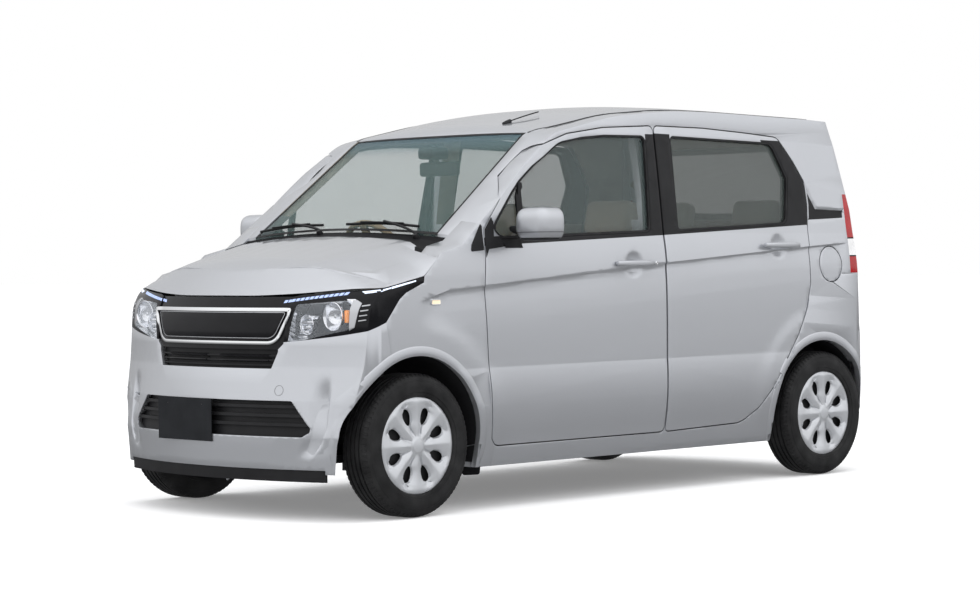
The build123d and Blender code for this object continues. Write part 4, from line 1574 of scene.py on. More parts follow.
@dataclass
class SideTrim:
    """Trim on one flank: arch lips, sail patches, handles, turn lamp, seals and a mudguard."""

    side: int
    surface: Surface
    panes: Surface
    flank: Flank
    opening: Opening = field(default_factory=Opening)
    lip_rows: Rows = (
        (-0.0010, -0.016), (-0.0010, 0.0010), (0.0015, 0.0022), (0.012, 0.0026), (0.030, 0.0020),
        (0.036, 0.0004), (0.040, -0.0030))
    lip_turn: Point2 = (-24.0, 204.0)
    lip_steps: int = 57
    grips: tuple[tuple[str, float, float, float], ...] = (
        ("front", -0.098, 0.132, 0.962), ("rear", 0.868, 1.108, 1.033))
    grip_gaps: Point2 = (0.004, 0.031)
    grip_half: float = 0.0125
    lock_rows: Rows = ((0.0, 0.0), (0.0126, 0.0), (0.0126, 0.0034), (0.0114, 0.0046),
                       (0.0126, 0.0058), (0.0120, 0.0076), (0.0, 0.0078))
    sail_tip: Rows = ((-0.929, 1.016), (-0.921, 1.044), (-0.860, 1.126), (-0.8535, 1.116),
                      (-0.8560, 1.022))
    sail_door: Rows = ((-0.8465, 1.024), (-0.8385, 1.104), (-0.796, 1.152), (-0.786, 1.132),
                       (-0.7915, 1.072), (-0.640, 1.071), (-0.655, 1.054), (-0.705, 1.043),
                       (-0.760, 1.033))
    bar: Rows = ((-0.642, 1.066), (-0.636, 1.288), (-0.604, 1.318), (-0.610, 1.066))
    lamp_at: Point2 = (-1.129, 0.824)
    lamp_half: Point2 = (0.026, 0.0115)
    flap: Rows = ((0.585, 0.188), (0.700, 0.196), (0.694, 0.140), (0.600, 0.132))
    flap_y: float = -0.868

    def __post_init__(self) -> None:
        """Name the side by its letter."""
        self.tail = SIDES[self.side]

    def build(self) -> None:
        """Build the trim of the side."""
        for arch, name in zip(self.flank.arches, ("front", "rear")):
            self.lip(f"arch_lip_{name}_{self.tail}", arch)
        self.patches()
        self.handles()
        self.turn_lamp()
        self.seals()
        self.mudguard()

    def lip(self, name: str, arch: Point) -> None:
        """A rolled lip round a wheel arch.

        Args:
            name: The piece's name.
            arch: Centre (y, z) and radius of the arch.
        """
        ya, za, radius = arch
        (first, last), count, width = self.lip_turn, self.lip_steps, len(self.lip_rows)
        verts: list[Point] = []
        for n in range(count):
            angle = math.radians(first + (last - first) * n / (count - 1))
            for out, lift in self.lip_rows:
                r = radius + out
                seen = max(r, radius + 0.003)
                y, z = ya + seen * math.cos(angle), za + seen * math.sin(angle)
                place, _ = self.surface.hit((0, y, z), 0, self.side)
                verts.append((place.x + self.side * lift, ya + r * math.cos(angle),
                              za + r * math.sin(angle)))
        faces = [(n * width + k, n * width + k + 1, (n + 1) * width + k + 1, (n + 1) * width + k)
                 for n in range(count - 1) for k in range(width - 1)]
        obj = meshed(name, verts, faces=faces)
        if obj.data.polygons[len(faces) // 2 + 3].normal.x * self.side < 0:
            obj.data.flip_normals()
        walled(obj, 0.002)
        smooth(obj, 50.0)
        dressed(obj, SILVER, Body.SHELL)

    def patches(self) -> None:
        """Black sail patches and the window's division bar."""
        door = Body.door("front", self.tail)
        tip = rounded_outline(self.sail_tip, (0.008, 0.01, 0.004, 0.001, 0.001))
        for name, outline, under, body, sizes in (
                ("sail_tip", tip, self.surface, Body.SHELL, (0.0015, 0.004, 0.02)),
                ("sail_door", self.sail_door, self.surface, door, (0.0015, 0.004, 0.02)),
                ("quarter_bar", self.bar, self.panes, door, (0.0090, 0.009, 0.03))):
            Patch(f"{name}_{self.tail}", outline, 0, self.side, *sizes).dress(
                under, SATIN_BLACK, body)

    def handles(self) -> None:
        """Painted pull handles, with a lock in the front one."""
        out = self.flank.half
        for row, y0, y1, z in self.grips:
            near, far = (self.side * (out + gap) for gap in self.grip_gaps)
            grip = block(f"handle_{row}_{self.tail}", (near, y0, z - self.grip_half),
                         (far, y1, z + self.grip_half))
            cuts(grip, levels(1, (y0 + (y1 - y0) * k / 12 for k in range(1, 12))))
            middle, half = (y0 + y1) / 2, (y1 - y0) / 2

            def bow(co: Vector) -> Vector:
                """Bend the grip's ends in to the door and thin them."""
                t = (co.y - middle) / half
                x = abs(co.x) - out
                x -= (0.020 if x > 0.010 else 0.012) * t ** 4
                return Vector((self.side * (out + x), co.y, z + (co.z - z) * (1 - 0.22 * t * t)))

            reshape(grip, bow)
            outward(grip)
            rounded(grip, 0.0065, 4, 40.0)
            smooth(grip, 60.0)
            dressed(grip, SILVER, Body.door(row, self.tail))
            if row == "front":
                x = self.flank.x(y1 + 0.012, z)
                lock = turned(f"door_lock_{self.tail}", on_side(self.lock_rows, self.side),
                              (self.side * x, y1 + 0.0145, z), steps=32)
                dressed(lock, CHROME, Body.door(row, self.tail))

    def turn_lamp(self) -> None:
        """Small side turn lamp: chrome frame and a pale amber middle."""
        (y, z), (wide, tall) = self.lamp_at, self.lamp_half
        frame = rounded_outline([(y - wide, z - tall), (y + wide, z - tall), (y + wide, z + tall),
                                 (y - wide, z + tall)], 0.006)
        Patch(f"side_lamp_frame_{self.tail}", frame, 0, self.side, 0.0048, 0.006, 0.02, 0.001,
              0.0042).dress(self.surface, CHROME)
        glass = [(y + (a - y) * 0.86, z + (b - z) * 0.72) for a, b in frame]
        Patch(f"side_lamp_{self.tail}", glass, 0, self.side, 0.0042, 0.006, 0.01).dress(
            self.surface, PALE_AMBER)

    def seals(self) -> None:
        """Rubber round the door windows."""
        for row in ("front", "rear"):
            seal = rim(f"glass_{row}_{self.tail}", f"window_seal_{row}_{self.tail}", 0.010,
                       0.0105, lambda c, n: n.x * self.side > 0.5)
            if row == "front":
                self.opening.fit(seal)
            dressed(seal, SEAL, Body.door(row, self.tail))

    def mudguard(self) -> None:
        """A short flap behind the front wheel."""
        outline = rounded_outline(on_side(self.flap, self.side), (0.001, 0.001, 0.016, 0.016))
        flap = prism(f"mudguard_{self.tail}", [(x, self.flap_y, z) for x, z in outline],
                     (0, 0.005, 0), 0.001)
        dressed(flap, GRAIN_BLACK, Body.SHELL)


@dataclass
class RoofMouldings:
    """Black mouldings in the joints of the roof."""

    surface: Surface
    half: float = 0.0045
    rows: Rows = ((-0.392, 0.521), (-0.30, 0.551), (-0.18, 0.556), (1.395, 0.556))

    def build(self) -> None:
        """Lay both mouldings."""
        outlines = [[(side * (x + self.half), y) for y, x in self.rows]
                    + [(side * (x - self.half), y) for y, x in self.rows[::-1]] for side in SIDES]
        Patch.group("roof_mouldings", outlines, 2, 1, (0.0012, 0.004, 0.04), self.surface, SEAL)


@dataclass
class Mirrors:
    """Door mirrors: painted domes, black feet and mirror glass."""

    split: float = 1.092
    groove: float = 0.0022
    foot: Point2 = (0.768, 1.069)
    cell: float = 0.0038
    softening: int = 110
    middle: Point2 = (0.8525, 1.129)
    outline: Rows = ((0.783, 1.080), (0.922, 1.080), (0.922, 1.178), (0.783, 1.178))

    def build(self) -> None:
        """Build both mirrors."""
        for side, tail in SIDES.items():
            self.mirror("mirror_" + tail, Body.door("front", tail), side)

    def mirror(self, node: str, body: Body, side: int) -> None:
        """Build one mirror.

        Args:
            node: The CAD node.
            body: The door that it rides on.
            side: 1 is the car's left.
        """
        shell = copy_node(node, node + "_shell")
        voxels(shell, self.cell)
        soft = shell.modifiers.new("soft", "SMOOTH")
        soft.factor = 0.5
        soft.iterations = self.softening
        apply(shell)
        foot_x, foot_z = self.foot
        groove = self.split - self.groove
        cuts(shell, levels(2, (self.split, groove, foot_z)) + levels(0, (side * foot_x,)))
        smooth(shell, 50.0)
        dressed(shell, SILVER, body, node)
        paint(shell, SATIN_BLACK, lambda c, n: (
            c.z < foot_z or abs(c.x) < foot_x or groove < c.z < self.split))
        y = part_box(node)[1][1]
        outline = rounded_outline(on_side(self.outline, side), (0.02, 0.03, 0.045, 0.035))
        frame = prism(node + "_bezel", [(x, y - 0.0035, z) for x, z in outline],
                      (0, 0.003, 0), 0.001)
        dressed(frame, SATIN_BLACK, body)
        cx, cz = side * self.middle[0], self.middle[1]
        inner = [(cx + (x - cx) * 0.93, y - 0.003, cz + (z - cz) * 0.92) for x, z in outline]
        glass = prism(node + "_glass", inner, (0, 0.0029, 0), 0.0006)
        dressed(glass, MIRROR, body)


# ------------------------------------------------------------------ glass, lamps and trim
@dataclass
class Carried:
    """CAD nodes whose own shape is shown, with their finishes."""

    nodes: dict[str, Finish] = field(default_factory=lambda: {
        "windshield": SCREEN, "glass_rear_l": REAR_GLASS, "glass_rear_r": REAR_GLASS,
        "tailgate_glass": DARK_GLASS, "grille_panel": GLOSS_BLACK, "lower_grille": SATIN_BLACK,
        "cowl": GRAIN_BLACK, "number_plate": PLATE_BLANK, "arch_liners": UNDERSEAL,
        "underbody": UNDERSEAL, "engine_block": STEEL, "front_arms": STEEL, "rear_axle": STEEL,
        "knuckle_l": STEEL, "knuckle_r": STEEL})

    def build(self) -> None:
        """Give each node its finish."""
        for node, finish in self.nodes.items():
            coat(FRAME["nodes"][node], finish)
            smooth(FRAME["nodes"][node], 30.0)


@dataclass
class Headlamps:
    """Black housings with chrome reflectors, clear lenses, light guides and fins."""

    surface: Surface
    lens: Rows = ((0.431, 0.822), (0.650, 0.838), (0.656, 0.727), (0.402, 0.672))
    bezel: Rows = ((0.652, 0.838), (0.668, 0.838), (0.690, 0.826), (0.676, 0.735), (0.655, 0.722))
    bowls: tuple[Point, ...] = ((0.578, 0.776, 0.050), (0.470, 0.745, 0.036))
    bowl_rows: Rows = (
        (0.004, 1.0), (0.016, 0.93), (0.028, 0.80), (0.040, 0.58), (0.047, 0.30), (0.049, 0.0),
        (0.052, 0.0), (0.050, 0.34), (0.042, 0.64), (0.028, 0.88), (0.014, 1.03), (0.002, 1.10),
        (0.000, 1.06))
    bulb_rows: Rows = ((0.012, 0.0), (0.014, 0.15), (0.020, 0.22), (0.046, 0.22), (0.046, 0.0))
    depth: float = 0.075
    steps: int = 5
    cells: int = 14
    cell_step: float = 0.0188
    guides: Rows = ((-1.452, -1.365), (-1.362, -1.235))
    fins: int = 4

    def build(self) -> None:
        """Build both lamps."""
        base = copy_node("headlamps", "headlamp_housings")
        rounded(base, 0.0015, 2, 50.0)
        for cutter in [self.pocket(side) for side in SIDES]:
            cut = base.modifiers.new("pocket", "BOOLEAN")
            cut.operation = "DIFFERENCE"
            cut.solver = "EXACT"
            cut.object = cutter
            apply(base)
            bpy.data.objects.remove(cutter)
        smooth(base, 35.0)
        dressed(base, GLOSS_BLACK, Body.SHELL, "headlamps")
        paint(base, REFLECTOR, self.in_pocket)
        for side in SIDES:
            self.insides(side)
            self.covers(side)

    def face_y(self, x: float) -> float:
        """Where the lens lies along the car, over a distance from the middle."""
        return self.surface.hit((x, 0, 0.77), 1, -1)[0].y

    def in_pocket(self, centre: Vector, normal: Vector) -> bool:
        """Whether a face of the housing is inside the lens pocket."""
        x, z = abs(centre.x), centre.z
        wide = [(0.54 + (a - 0.54) * 1.01, 0.76 + (b - 0.76) * 1.02) for a, b in self.lens]
        return within(wide, x, z) and centre.y > self.face_y(x) + 0.004

    def pocket(self, side: int) -> Piece:
        """The tool that opens the housing behind the lens.

        Args:
            side: 1 is the car's left.

        Returns:
            The tool.
        """
        outline = on_side(rounded_outline(self.lens, 0.012), side)
        tool = prism(f"pocket_{side}", [(x, -1.70, z) for x, z in outline], (0, 0.30, 0))

        def seat(co: Vector) -> Vector:
            """Bring the tool's bottom behind the lens."""
            if co.y > -1.6:
                return Vector((co.x, self.face_y(abs(co.x)) + self.depth, co.z))
            return co

        reshape(tool, seat)
        return tool

    def insides(self, side: int) -> None:
        """Reflector bowls with their bulbs, a stepped divider and the turn signal.

        Args:
            side: 1 is the car's left.
        """
        tail = SIDES[side]
        parts = []
        for x, z, r in self.bowls:
            at = (side * x, self.face_y(x) + 0.012, z)
            for name, rows, steps in (("bowl", self.bowl_rows, 48), ("bulb", self.bulb_rows, 24)):
                profile = [(y, r * share) for y, share in rows]
                parts.append(turned(f"{name}_{tail}_{x}", profile, at, (0, 1, 0), steps))
        for k in range(self.steps):
            z = 0.690 + 0.019 * k
            x0, x1 = 0.418 + 0.006 * k, 0.470 + 0.010 * k
            y = self.face_y(x0) + 0.030
            parts.append(prism(f"step_{tail}_{k}", [
                (side * x0, y, z), (side * x1, y - 0.002, z), (side * x1, y + 0.03, z),
                (side * x0, y + 0.03, z)], (0, 0, 0.013), 0.0015))
        inner = joined(parts, f"lamp_reflectors_{tail}")
        smooth(inner, 35.0)
        dressed(inner, REFLECTOR, Body.SHELL)
        y = self.face_y(0.640)
        amber = prism(f"turn_lens_{tail}", [
            (side * 0.632, y - 0.001, 0.752), (side * 0.646, y + 0.010, 0.754),
            (side * 0.644, y + 0.010, 0.800), (side * 0.632, y - 0.001, 0.800)],
                      (0, 0.02, 0), 0.003)
        dressed(amber, AMBER, Body.SHELL)

    def covers(self, side: int) -> None:
        """Clear lens, silver bezel, light guides and fins on the surface.

        Args:
            side: 1 is the car's left.
        """
        tail = SIDES[side]
        lens = on_side(rounded_outline(self.lens, 0.012), side)
        Patch(f"lamp_lens_{tail}", lens, 1, -1, 0.0012, 0.0022, 0.02).dress(self.surface, LENS)
        Patch(f"lamp_bezel_{tail}", on_side(self.bezel, side), 1, -1, 0.0016, 0.0035, 0.012,
              0.0008).dress(self.surface, SATIN_SILVER)
        cells = []
        for k in range(self.cells):
            x0 = 0.362 + k * self.cell_step
            x1 = x0 + self.cell_step - 0.005
            z0, z1 = (0.8270 + (x - 0.362) * 0.120 for x in (x0, x1))
            cells.append(on_side([(x0, z0), (x1, z1), (x1 + 0.003, z1 + 0.010),
                                  (x0 + 0.003, z0 + 0.010)], side))
        Patch.group(f"light_row_{tail}", cells, 1, -1, (0.0016, 0.003, 0.0095), self.surface,
                    LED_BLUE)
        guides = []
        for y0, y1 in self.guides:
            z0, z1 = (0.8655 + (y + 1.452) * 0.19 for y in (y0, y1))
            guides.append([(y0, z0 - 0.004), (y1, z1 - 0.002), (y1, z1 + 0.003), (y0, z0 + 0.004)])
        Patch.group(f"light_guide_{tail}", guides, 0, side, (0.0014, 0.003, 0.02), self.surface,
                    LED_WHITE)
        fins = []
        for k in range(self.fins):
            x0, x1, z = 0.694 - 0.002 * k, 0.7235 - 0.002 * k, 0.815 - 0.0185 * k
            fins.append(on_side([(x0, z - 0.0032), (x1, z + 0.001), (x1, z + 0.006),
                                 (x0, z + 0.0022)], side))
        Patch.group(f"lamp_fins_{tail}", fins, 1, -1, (0.0035, 0.005, 0.02, 0.0008), self.surface,
                    SATIN_SILVER)


@dataclass
class Front:
    """Grille frame, intake slats, plate bolts and the towing cap."""

    surface: Surface
    frame_corners: Rows = ((-0.420, 0.807), (0.420, 0.807), (0.352, 0.668), (-0.352, 0.668))
    panel_corners: Rows = ((-0.386, 0.792), (0.386, 0.792), (0.336, 0.692), (-0.336, 0.692))
    slat_spans: Rows = ((-0.29, -0.03), (0.05, 0.31))
    cap: Point = (0.382, 0.495, 0.020)
    bolt_rows: Rows = ((0.0, 0.0), (0.0010, 0.0045), (0.0026, 0.0062), (0.0030, 0.0064),
                       (0.0060, 0.0064), (0.0060, 0.0))

    def build(self) -> None:
        """Build the pieces of the nose."""
        frame = rounded_outline(self.frame_corners, (0.012, 0.012, 0.075, 0.075), 10)
        panel = rounded_outline(self.panel_corners, (0.008, 0.008, 0.055, 0.055), 10)
        for name, outline, sizes, finish in (
                ("grille_frame", frame, (0.0075, 0.009, 0.03, 0.0030, 0.0125), CHROME),
                ("grille_blank", panel, (0.0050, 0.006, 0.03, 0.0012), GLOSS_BLACK),
                ("grille_line", panel, (0.0056, 0.002, 0.03, 0.0, 0.0022), SATIN_SILVER)):
            Patch(name, outline, 1, -1, *sizes).dress(self.surface, finish)
        slats = [[(low, z), (high, z), (high, z + 0.004), (low, z + 0.004)]
                 for z in (0.601 + 0.013 * k for k in range(3)) for low, high in self.slat_spans]
        Patch.group("intake_slats", slats, 1, -1, (0.004, 0.006, 0.05, 0.001), self.surface,
                    GLOSS_BLACK)
        x, z, radius = self.cap
        disc = [(x + radius * math.cos(math.tau * k / 32), z + radius * math.sin(math.tau * k / 32))
                for k in range(32)]
        Patch("towing_cap_gap", disc, 1, -1, 0.0006, 0.0016, 0.02, 0.0, 0.0014).dress(
            self.surface, CAP_LINE)
        self.bolts()

    def bolts(self) -> None:
        """Two dome bolts on the blank plate."""
        low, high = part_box("number_plate")
        x, z = (low[0] + high[0]) / 2, high[2] - 0.022
        bolts = [turned(f"bolt_{way}", self.bolt_rows, (x + way, low[1] + 0.0002, z),
                        (0, 1, 0), 24) for way in (-0.105, 0.105)]
        dressed(joined(bolts, "plate_bolts"), STEEL, Body.SHELL)


@dataclass
class ScreenTrim:
    """Black borders of the glass, wipers, interior mirror and antenna."""

    surface: Surface
    wiper_cap: Rows = ((-0.012, 0.0), (-0.012, 0.013), (0.012, 0.013), (0.019, 0.009), (0.020, 0.0))

    def build(self) -> None:
        """Build the trim round the windshield and the tailgate glass."""
        frit = rim("windshield", "windshield_border", 0.014, 0.0012,
                   lambda c, n: n.z > 0.2 and n.y < -0.3)
        dressed(frit, SEAL, Body.SHELL)
        back = rim("tailgate_glass", "tailgate_glass_border", 0.030, 0.0010, lambda c, n: n.y > 0.6)
        dressed(back, SEAL, Body.TAILGATE)
        self.wiper("wiper_right", -0.10, -0.545)
        self.wiper("wiper_left", 0.46, 0.02)
        self.inner_mirror()
        self.aerial()

    def glass(self, x: float, up: float, lift: float) -> Vector:
        """A point over the windshield, from its base's middle across, up and off the glass."""
        return self.surface.off((x, -0.962 + 0.020 * (x / 0.556) ** 2 + up, 0), 2, 1, lift)

    def wiper(self, name: str, pivot: float, tip: float) -> None:
        """One wiper: spindle cap, arm and blade.

        Args:
            name: The piece's name.
            pivot: Place of the spindle across the car.
            tip: Place of the blade's far end.
        """
        way = tip - pivot
        at = self.glass(pivot, -0.022, 0.0)
        arm = [at + Vector((0, 0, 0.016)), self.glass(pivot + way * 0.12, 0.000, 0.024),
               self.glass(pivot + way * 0.50, 0.028, 0.020)]
        blade = [self.glass(pivot + way * (0.06 + 0.94 * k / 6),
                            0.022 + 0.006 * math.sin(math.pi * k / 6), 0.0085) for k in range(7)]
        spine = [self.glass(pivot + way * (0.25 + 0.56 * k / 4), 0.026, 0.016) for k in range(5)]
        parts = [turned(name + "_cap", self.wiper_cap, at, (0, -0.5, 0.87), 24),
                 tube(name + "_arm", arm, 0.0055), tube(name + "_blade", blade, 0.0055),
                 tube(name + "_spine", spine, 0.0035)]
        dressed(joined(parts, name), SATIN_BLACK, Body.SHELL)

    def inner_mirror(self) -> None:
        """Mirror and its sensor pod behind the windshield."""
        top = self.glass(0.0, 0.50, -0.012)
        pod = block("mirror_pod", top + Vector((-0.045, -0.03, -0.065)),
                    top + Vector((0.045, 0.075, -0.015)), 0.014)
        stalk = tube("mirror_stalk", [top + Vector(move) for move in (
            (0, 0.03, -0.05), (0, 0.05, -0.075), (0, 0.055, -0.09))], 0.009)
        head = block("mirror_head", (-0.115, top.y + 0.045, top.z - 0.135),
                     (0.115, top.y + 0.075, top.z - 0.075), 0.013)
        dressed(joined([pod, stalk, head], "interior_mirror"), DASH, Body.SHELL)

    def aerial(self) -> None:
        """Roof antenna, folded back."""
        place, _ = self.surface.hit((0.30, -0.30, 0), 2, 1)
        parts = [tube(name, [place + Vector((0, y, z)) for y, z in line], radius)
                 for name, radius, line in (
                     ("aerial_foot", 0.009, ((-0.01, -0.002), (0.012, 0.008), (0.03, 0.012))),
                     ("aerial_rod", 0.0028, ((0.02, 0.010), (0.11, 0.036), (0.20, 0.056))))]
        dressed(joined(parts, "antenna"), SATIN_BLACK, Body.SHELL)


@dataclass
class Rear:
    """Tail lamps, high lamp, handle, plate bay, rear wiper and reflectors."""

    surface: Surface
    bands: tuple[float, float, float, float] = (0.979, 0.985, 1.060, 1.066)
    mark: Rows = ((0.52, 0.365), (0.62, 0.370), (0.62, 0.395), (0.52, 0.390))
    wiper_cap: Rows = ((0.0, 0.0), (0.0, 0.022), (0.012, 0.020), (0.020, 0.013), (0.021, 0.0))

    def build(self) -> None:
        """Build the pieces of the tail."""
        lamps = copy_node("tail_lamps", "tail_lamp_lenses")
        rounded(lamps, 0.004, 3, 45.0)
        z0, z1, z2, z3 = self.bands
        cuts(lamps, levels(2, (z2, z3, z1, z0)))
        smooth(lamps)
        dressed(lamps, RED_PLASTIC, Body.SHELL, "tail_lamps")
        paint(lamps, CLEAR_PLASTIC, lambda c, n: z1 < c.z < z2)
        paint(lamps, SEAL, lambda c, n: z2 < c.z < z3 or z0 < c.z < z1)
        for name, foot, low, head, high, radius, sizes, finish in (
                ("high_lamp", 0.11, 1.540, 0.11, 1.556, 0.006, (0.003, 0.006, 0.03, 0.001),
                 RED_PLASTIC),
                ("tailgate_garnish", 0.30, 0.905, 0.285, 0.955, 0.012, (0.012, 0.014, 0.03, 0.004),
                 SILVER),
                ("plate_bay", 0.215, 0.765, 0.235, 0.903, 0.015, (0.0012, 0.003, 0.03, 0.0006),
                 SATIN_BLACK),
                ("rear_plate", 0.165, 0.772, 0.165, 0.897, 0.008, (0.0055, 0.0018, 0.08, 0.0005),
                 PLATE_BLANK),
                ("tailgate_handle", 0.09, 0.893, 0.085, 0.915, 0.008, (0.016, 0.010, 0.03, 0.003),
                 GLOSS_BLACK)):
            corners = ((-foot, low), (foot, low), (head, high), (-head, high))
            Patch(name, rounded_outline(corners, radius), 1, 1, *sizes).dress(
                self.surface, finish, Body.TAILGATE)
        Patch.group("rear_reflectors", [rounded_outline(on_side(self.mark, side), 0.006)
                                        for side in SIDES], 1, 1, (0.002, 0.005, 0.02, 0.001),
                    self.surface, RED_PLASTIC)
        self.wiper()

    def point(self, x: float, z: float, lift: float) -> Vector:
        """A point that stands off the tail's surface."""
        return self.surface.off((x, 0, z), 1, 1, lift)

    def wiper(self) -> None:
        """The rear wiper, parked along the foot of the glass."""
        at = self.point(0.0, 1.135, 0.0)
        arm = [at + Vector((0, 0.014, 0)), self.point(-0.10, 1.160, 0.022),
               self.point(-0.21, 1.185, 0.017)]
        blade = [self.point(-0.06 - 0.31 * k / 4, 1.178 + 0.004 * k, 0.008) for k in range(5)]
        parts = [turned("rear_wiper_cap", self.wiper_cap, at, (0, 1, 0.1), 32),
                 tube("rear_wiper_arm", arm, 0.006),
                 tube("rear_wiper_blade", blade, 0.005)]
        dressed(joined(parts, "rear_wiper"), SATIN_BLACK, Body.TAILGATE)


# ------------------------------------------------------------------ wheels
@dataclass
class RoadWheel:
    """Tyre with grooves and sipes, and a wheel cover with eight paddle spokes."""

    corner: str
    body: Body
    side: int
    radius: float = 0.2775
    half_width: float = 0.0772
    spokes: int = 8
    columns: int = 12
    rings: tuple[float, ...] = (
        0.0, 0.016, 0.026, 0.031, 0.036, 0.050, 0.066, 0.077, 0.084, 0.092, 0.103, 0.116, 0.130,
        0.143, 0.151, 0.155, 0.163, 0.171, 0.179, 0.186, 0.1915, 0.1945)
    stand: Rows = (
        (0.0, 0.0745), (0.016, 0.0742), (0.026, 0.0725), (0.031, 0.0685), (0.036, 0.0670),
        (0.066, 0.0645), (0.097, 0.0630), (0.129, 0.0640), (0.150, 0.0660), (0.170, 0.0675),
        (0.179, 0.0672), (0.186, 0.0650), (0.1915, 0.0600), (0.1945, 0.0520))
    rim_rows: Rows = (
        (0.0515, 0.1925), (0.0560, 0.1890), (0.0560, 0.1860), (0.0360, 0.1800), (0.0300, 0.1500),
        (0.0360, 0.0900), (0.0400, 0.0300), (0.0400, 0.0), (-0.0100, 0.0), (-0.0100, 0.1600),
        (-0.0560, 0.1700), (-0.0600, 0.1900), (-0.0560, 0.1950), (0.0000, 0.1830),
        (0.0500, 0.1950))
    wall: float = 0.0035
    hole: Rows = (
        (0.084, 0.0020), (0.092, 0.0100), (0.103, 0.0150), (0.116, 0.0185), (0.130, 0.0195),
        (0.143, 0.0160), (0.151, 0.0050))

    def centre(self) -> Vector:
        """Middle of the wheel, from its CAD tyre."""
        low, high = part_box(f"tyre_{self.corner}")
        return (Vector(low) + Vector(high)) / 2

    def tyre(self) -> None:
        """Spin the tyre's section, then press sipes into its shoulders."""
        w, r = self.half_width, self.radius
        wall = [(w - 0.0185, 0.1815), (w - 0.0125, 0.186), (w - 0.006, 0.191), (w - 0.0045, 0.198),
                (w - 0.0040, 0.2035), (w - 0.002, 0.2045), (w - 0.0003, 0.226), (w - 0.0010, 0.238),
                (w - 0.0036, 0.247), (w - 0.0052, 0.2485), (w - 0.006, 0.254),
                (w - 0.0095, r - 0.0135), (w - 0.0155, r - 0.0065), (w - 0.0225, r - 0.0022),
                (w - 0.0285, r - 0.0012)]
        tread: list[Point2] = []
        for x in (0.036, 0.012):
            tread += [(x + 0.0045, r - 0.0006), (x + 0.0035, r - 0.007), (x - 0.0035, r - 0.007),
                      (x - 0.0045, r - 0.0004)]
        right = wall + tread
        rows = right + [(-x, rad) for x, rad in right[::-1]]
        centre = self.centre()
        obj = turned(f"tyre_{self.corner}_rubber", rows, centre, steps=160)

        def sunk(place: Vector, normal: Vector) -> bool:
            """Whether a face is a shoulder block that gets a sipe."""
            c = place - centre
            turn = math.degrees(math.atan2(c.z, c.y)) % 360.0
            return (round((turn - 1.125) / 2.25) % 2 == 0 and abs(c.x) > w - 0.0290
                    and math.hypot(c.y, c.z) > r - 0.0150)

        edit(obj, "DESELECT")
        pick(obj, sunk)
        bpy.ops.mesh.inset(thickness=0.0016, depth=-0.0022)
        close()
        smooth(obj, 28.0)
        dressed(obj, TYRE, self.body, f"tyre_{self.corner}")

    def face_point(self, ring: int, column: int) -> Vector:
        """A point of the cover in its own frame: x out, angle from the top.

        Args:
            ring: Row of the grid.
            column: Column of the grid.

        Returns:
            The point (x, y, z) from the wheel's middle.
        """
        r = self.rings[ring]
        sector, step = divmod(column, self.columns)
        width = math.tau / self.spokes
        gap = along(self.hole, r) if self.hole[0][0] <= r <= self.hole[-1][0] else (
            0.0015 if r < self.hole[0][0] else 0.0030)
        if r < 0.060 or r > 0.160:
            gap = max(gap, width * r * 0.11)
        edge = 0.5 - gap / max(width * r, 1e-4) if r > 0.036 else 0.34
        marks = [0.0, 0.045, edge * 0.5, edge - 0.05, edge, 0.25 + edge / 2, 0.5]
        half = min(step, self.columns - step)
        u = marks[half]
        turn = width * (sector + (u if step <= self.columns - step else 1.0 - u))
        out = along(self.stand, r)
        body = eased(r, 0.036, 0.060) * (1 - eased(r, 0.172, 0.186))
        crease = 0.0048 * body * (1 - min(1.0, u / 0.34))
        valley = (0.0120 if u >= edge - 0.001 else 0.0060 * eased(u, edge * 0.55, edge)) * body
        if r > 0.151:
            valley *= 1 - eased(r, 0.153, 0.176)
        x = out + crease - valley
        return Vector((self.side * x, r * math.sin(turn), r * math.cos(turn)))

    def cover(self) -> None:
        """Lay the cover's grid, open its windows and give it a wall."""
        centre = self.centre()
        count = self.spokes * self.columns
        rings = len(self.rings)
        verts = [centre + self.face_point(0, 0)]
        verts += [centre + self.face_point(k, n) for k in range(1, rings) for n in range(count)]
        faces: list[tuple[int, ...]] = [(0, 1 + n, 1 + (n + 1) % count) for n in range(count)]
        for k in range(1, rings - 1):
            start, end = self.rings[k], self.rings[k + 1]
            for n in range(count):
                step = n % self.columns
                if (start >= self.hole[0][0] - 1e-6 and end <= self.hole[-1][0] + 1e-6
                    and 4 <= step <= self.columns - 5):
                    continue
                a, b = 1 + (k - 1) * count + n, 1 + (k - 1) * count + (n + 1) % count
                faces.append((a, b, b + count, a + count))
        obj = meshed(f"cover_{self.corner}", verts, faces=faces)
        outward(obj)
        if obj.data.polygons[3].normal.x * self.side < 0:
            obj.data.flip_normals()
        walled(obj, self.wall)
        smooth(obj, 24.0)
        dressed(obj, COVER_SILVER, self.body)

    def inside(self) -> None:
        """Dark rim behind the cover, out to the tyre's bead."""
        obj = turned(f"rim_{self.corner}", on_side(self.rim_rows, self.side), self.centre(),
                     steps=72)
        dressed(obj, RIM_BLACK, self.body, f"wheel_{self.corner}")

    def build(self) -> None:
        """Build the wheel."""
        self.tyre()
        self.cover()
        self.inside()


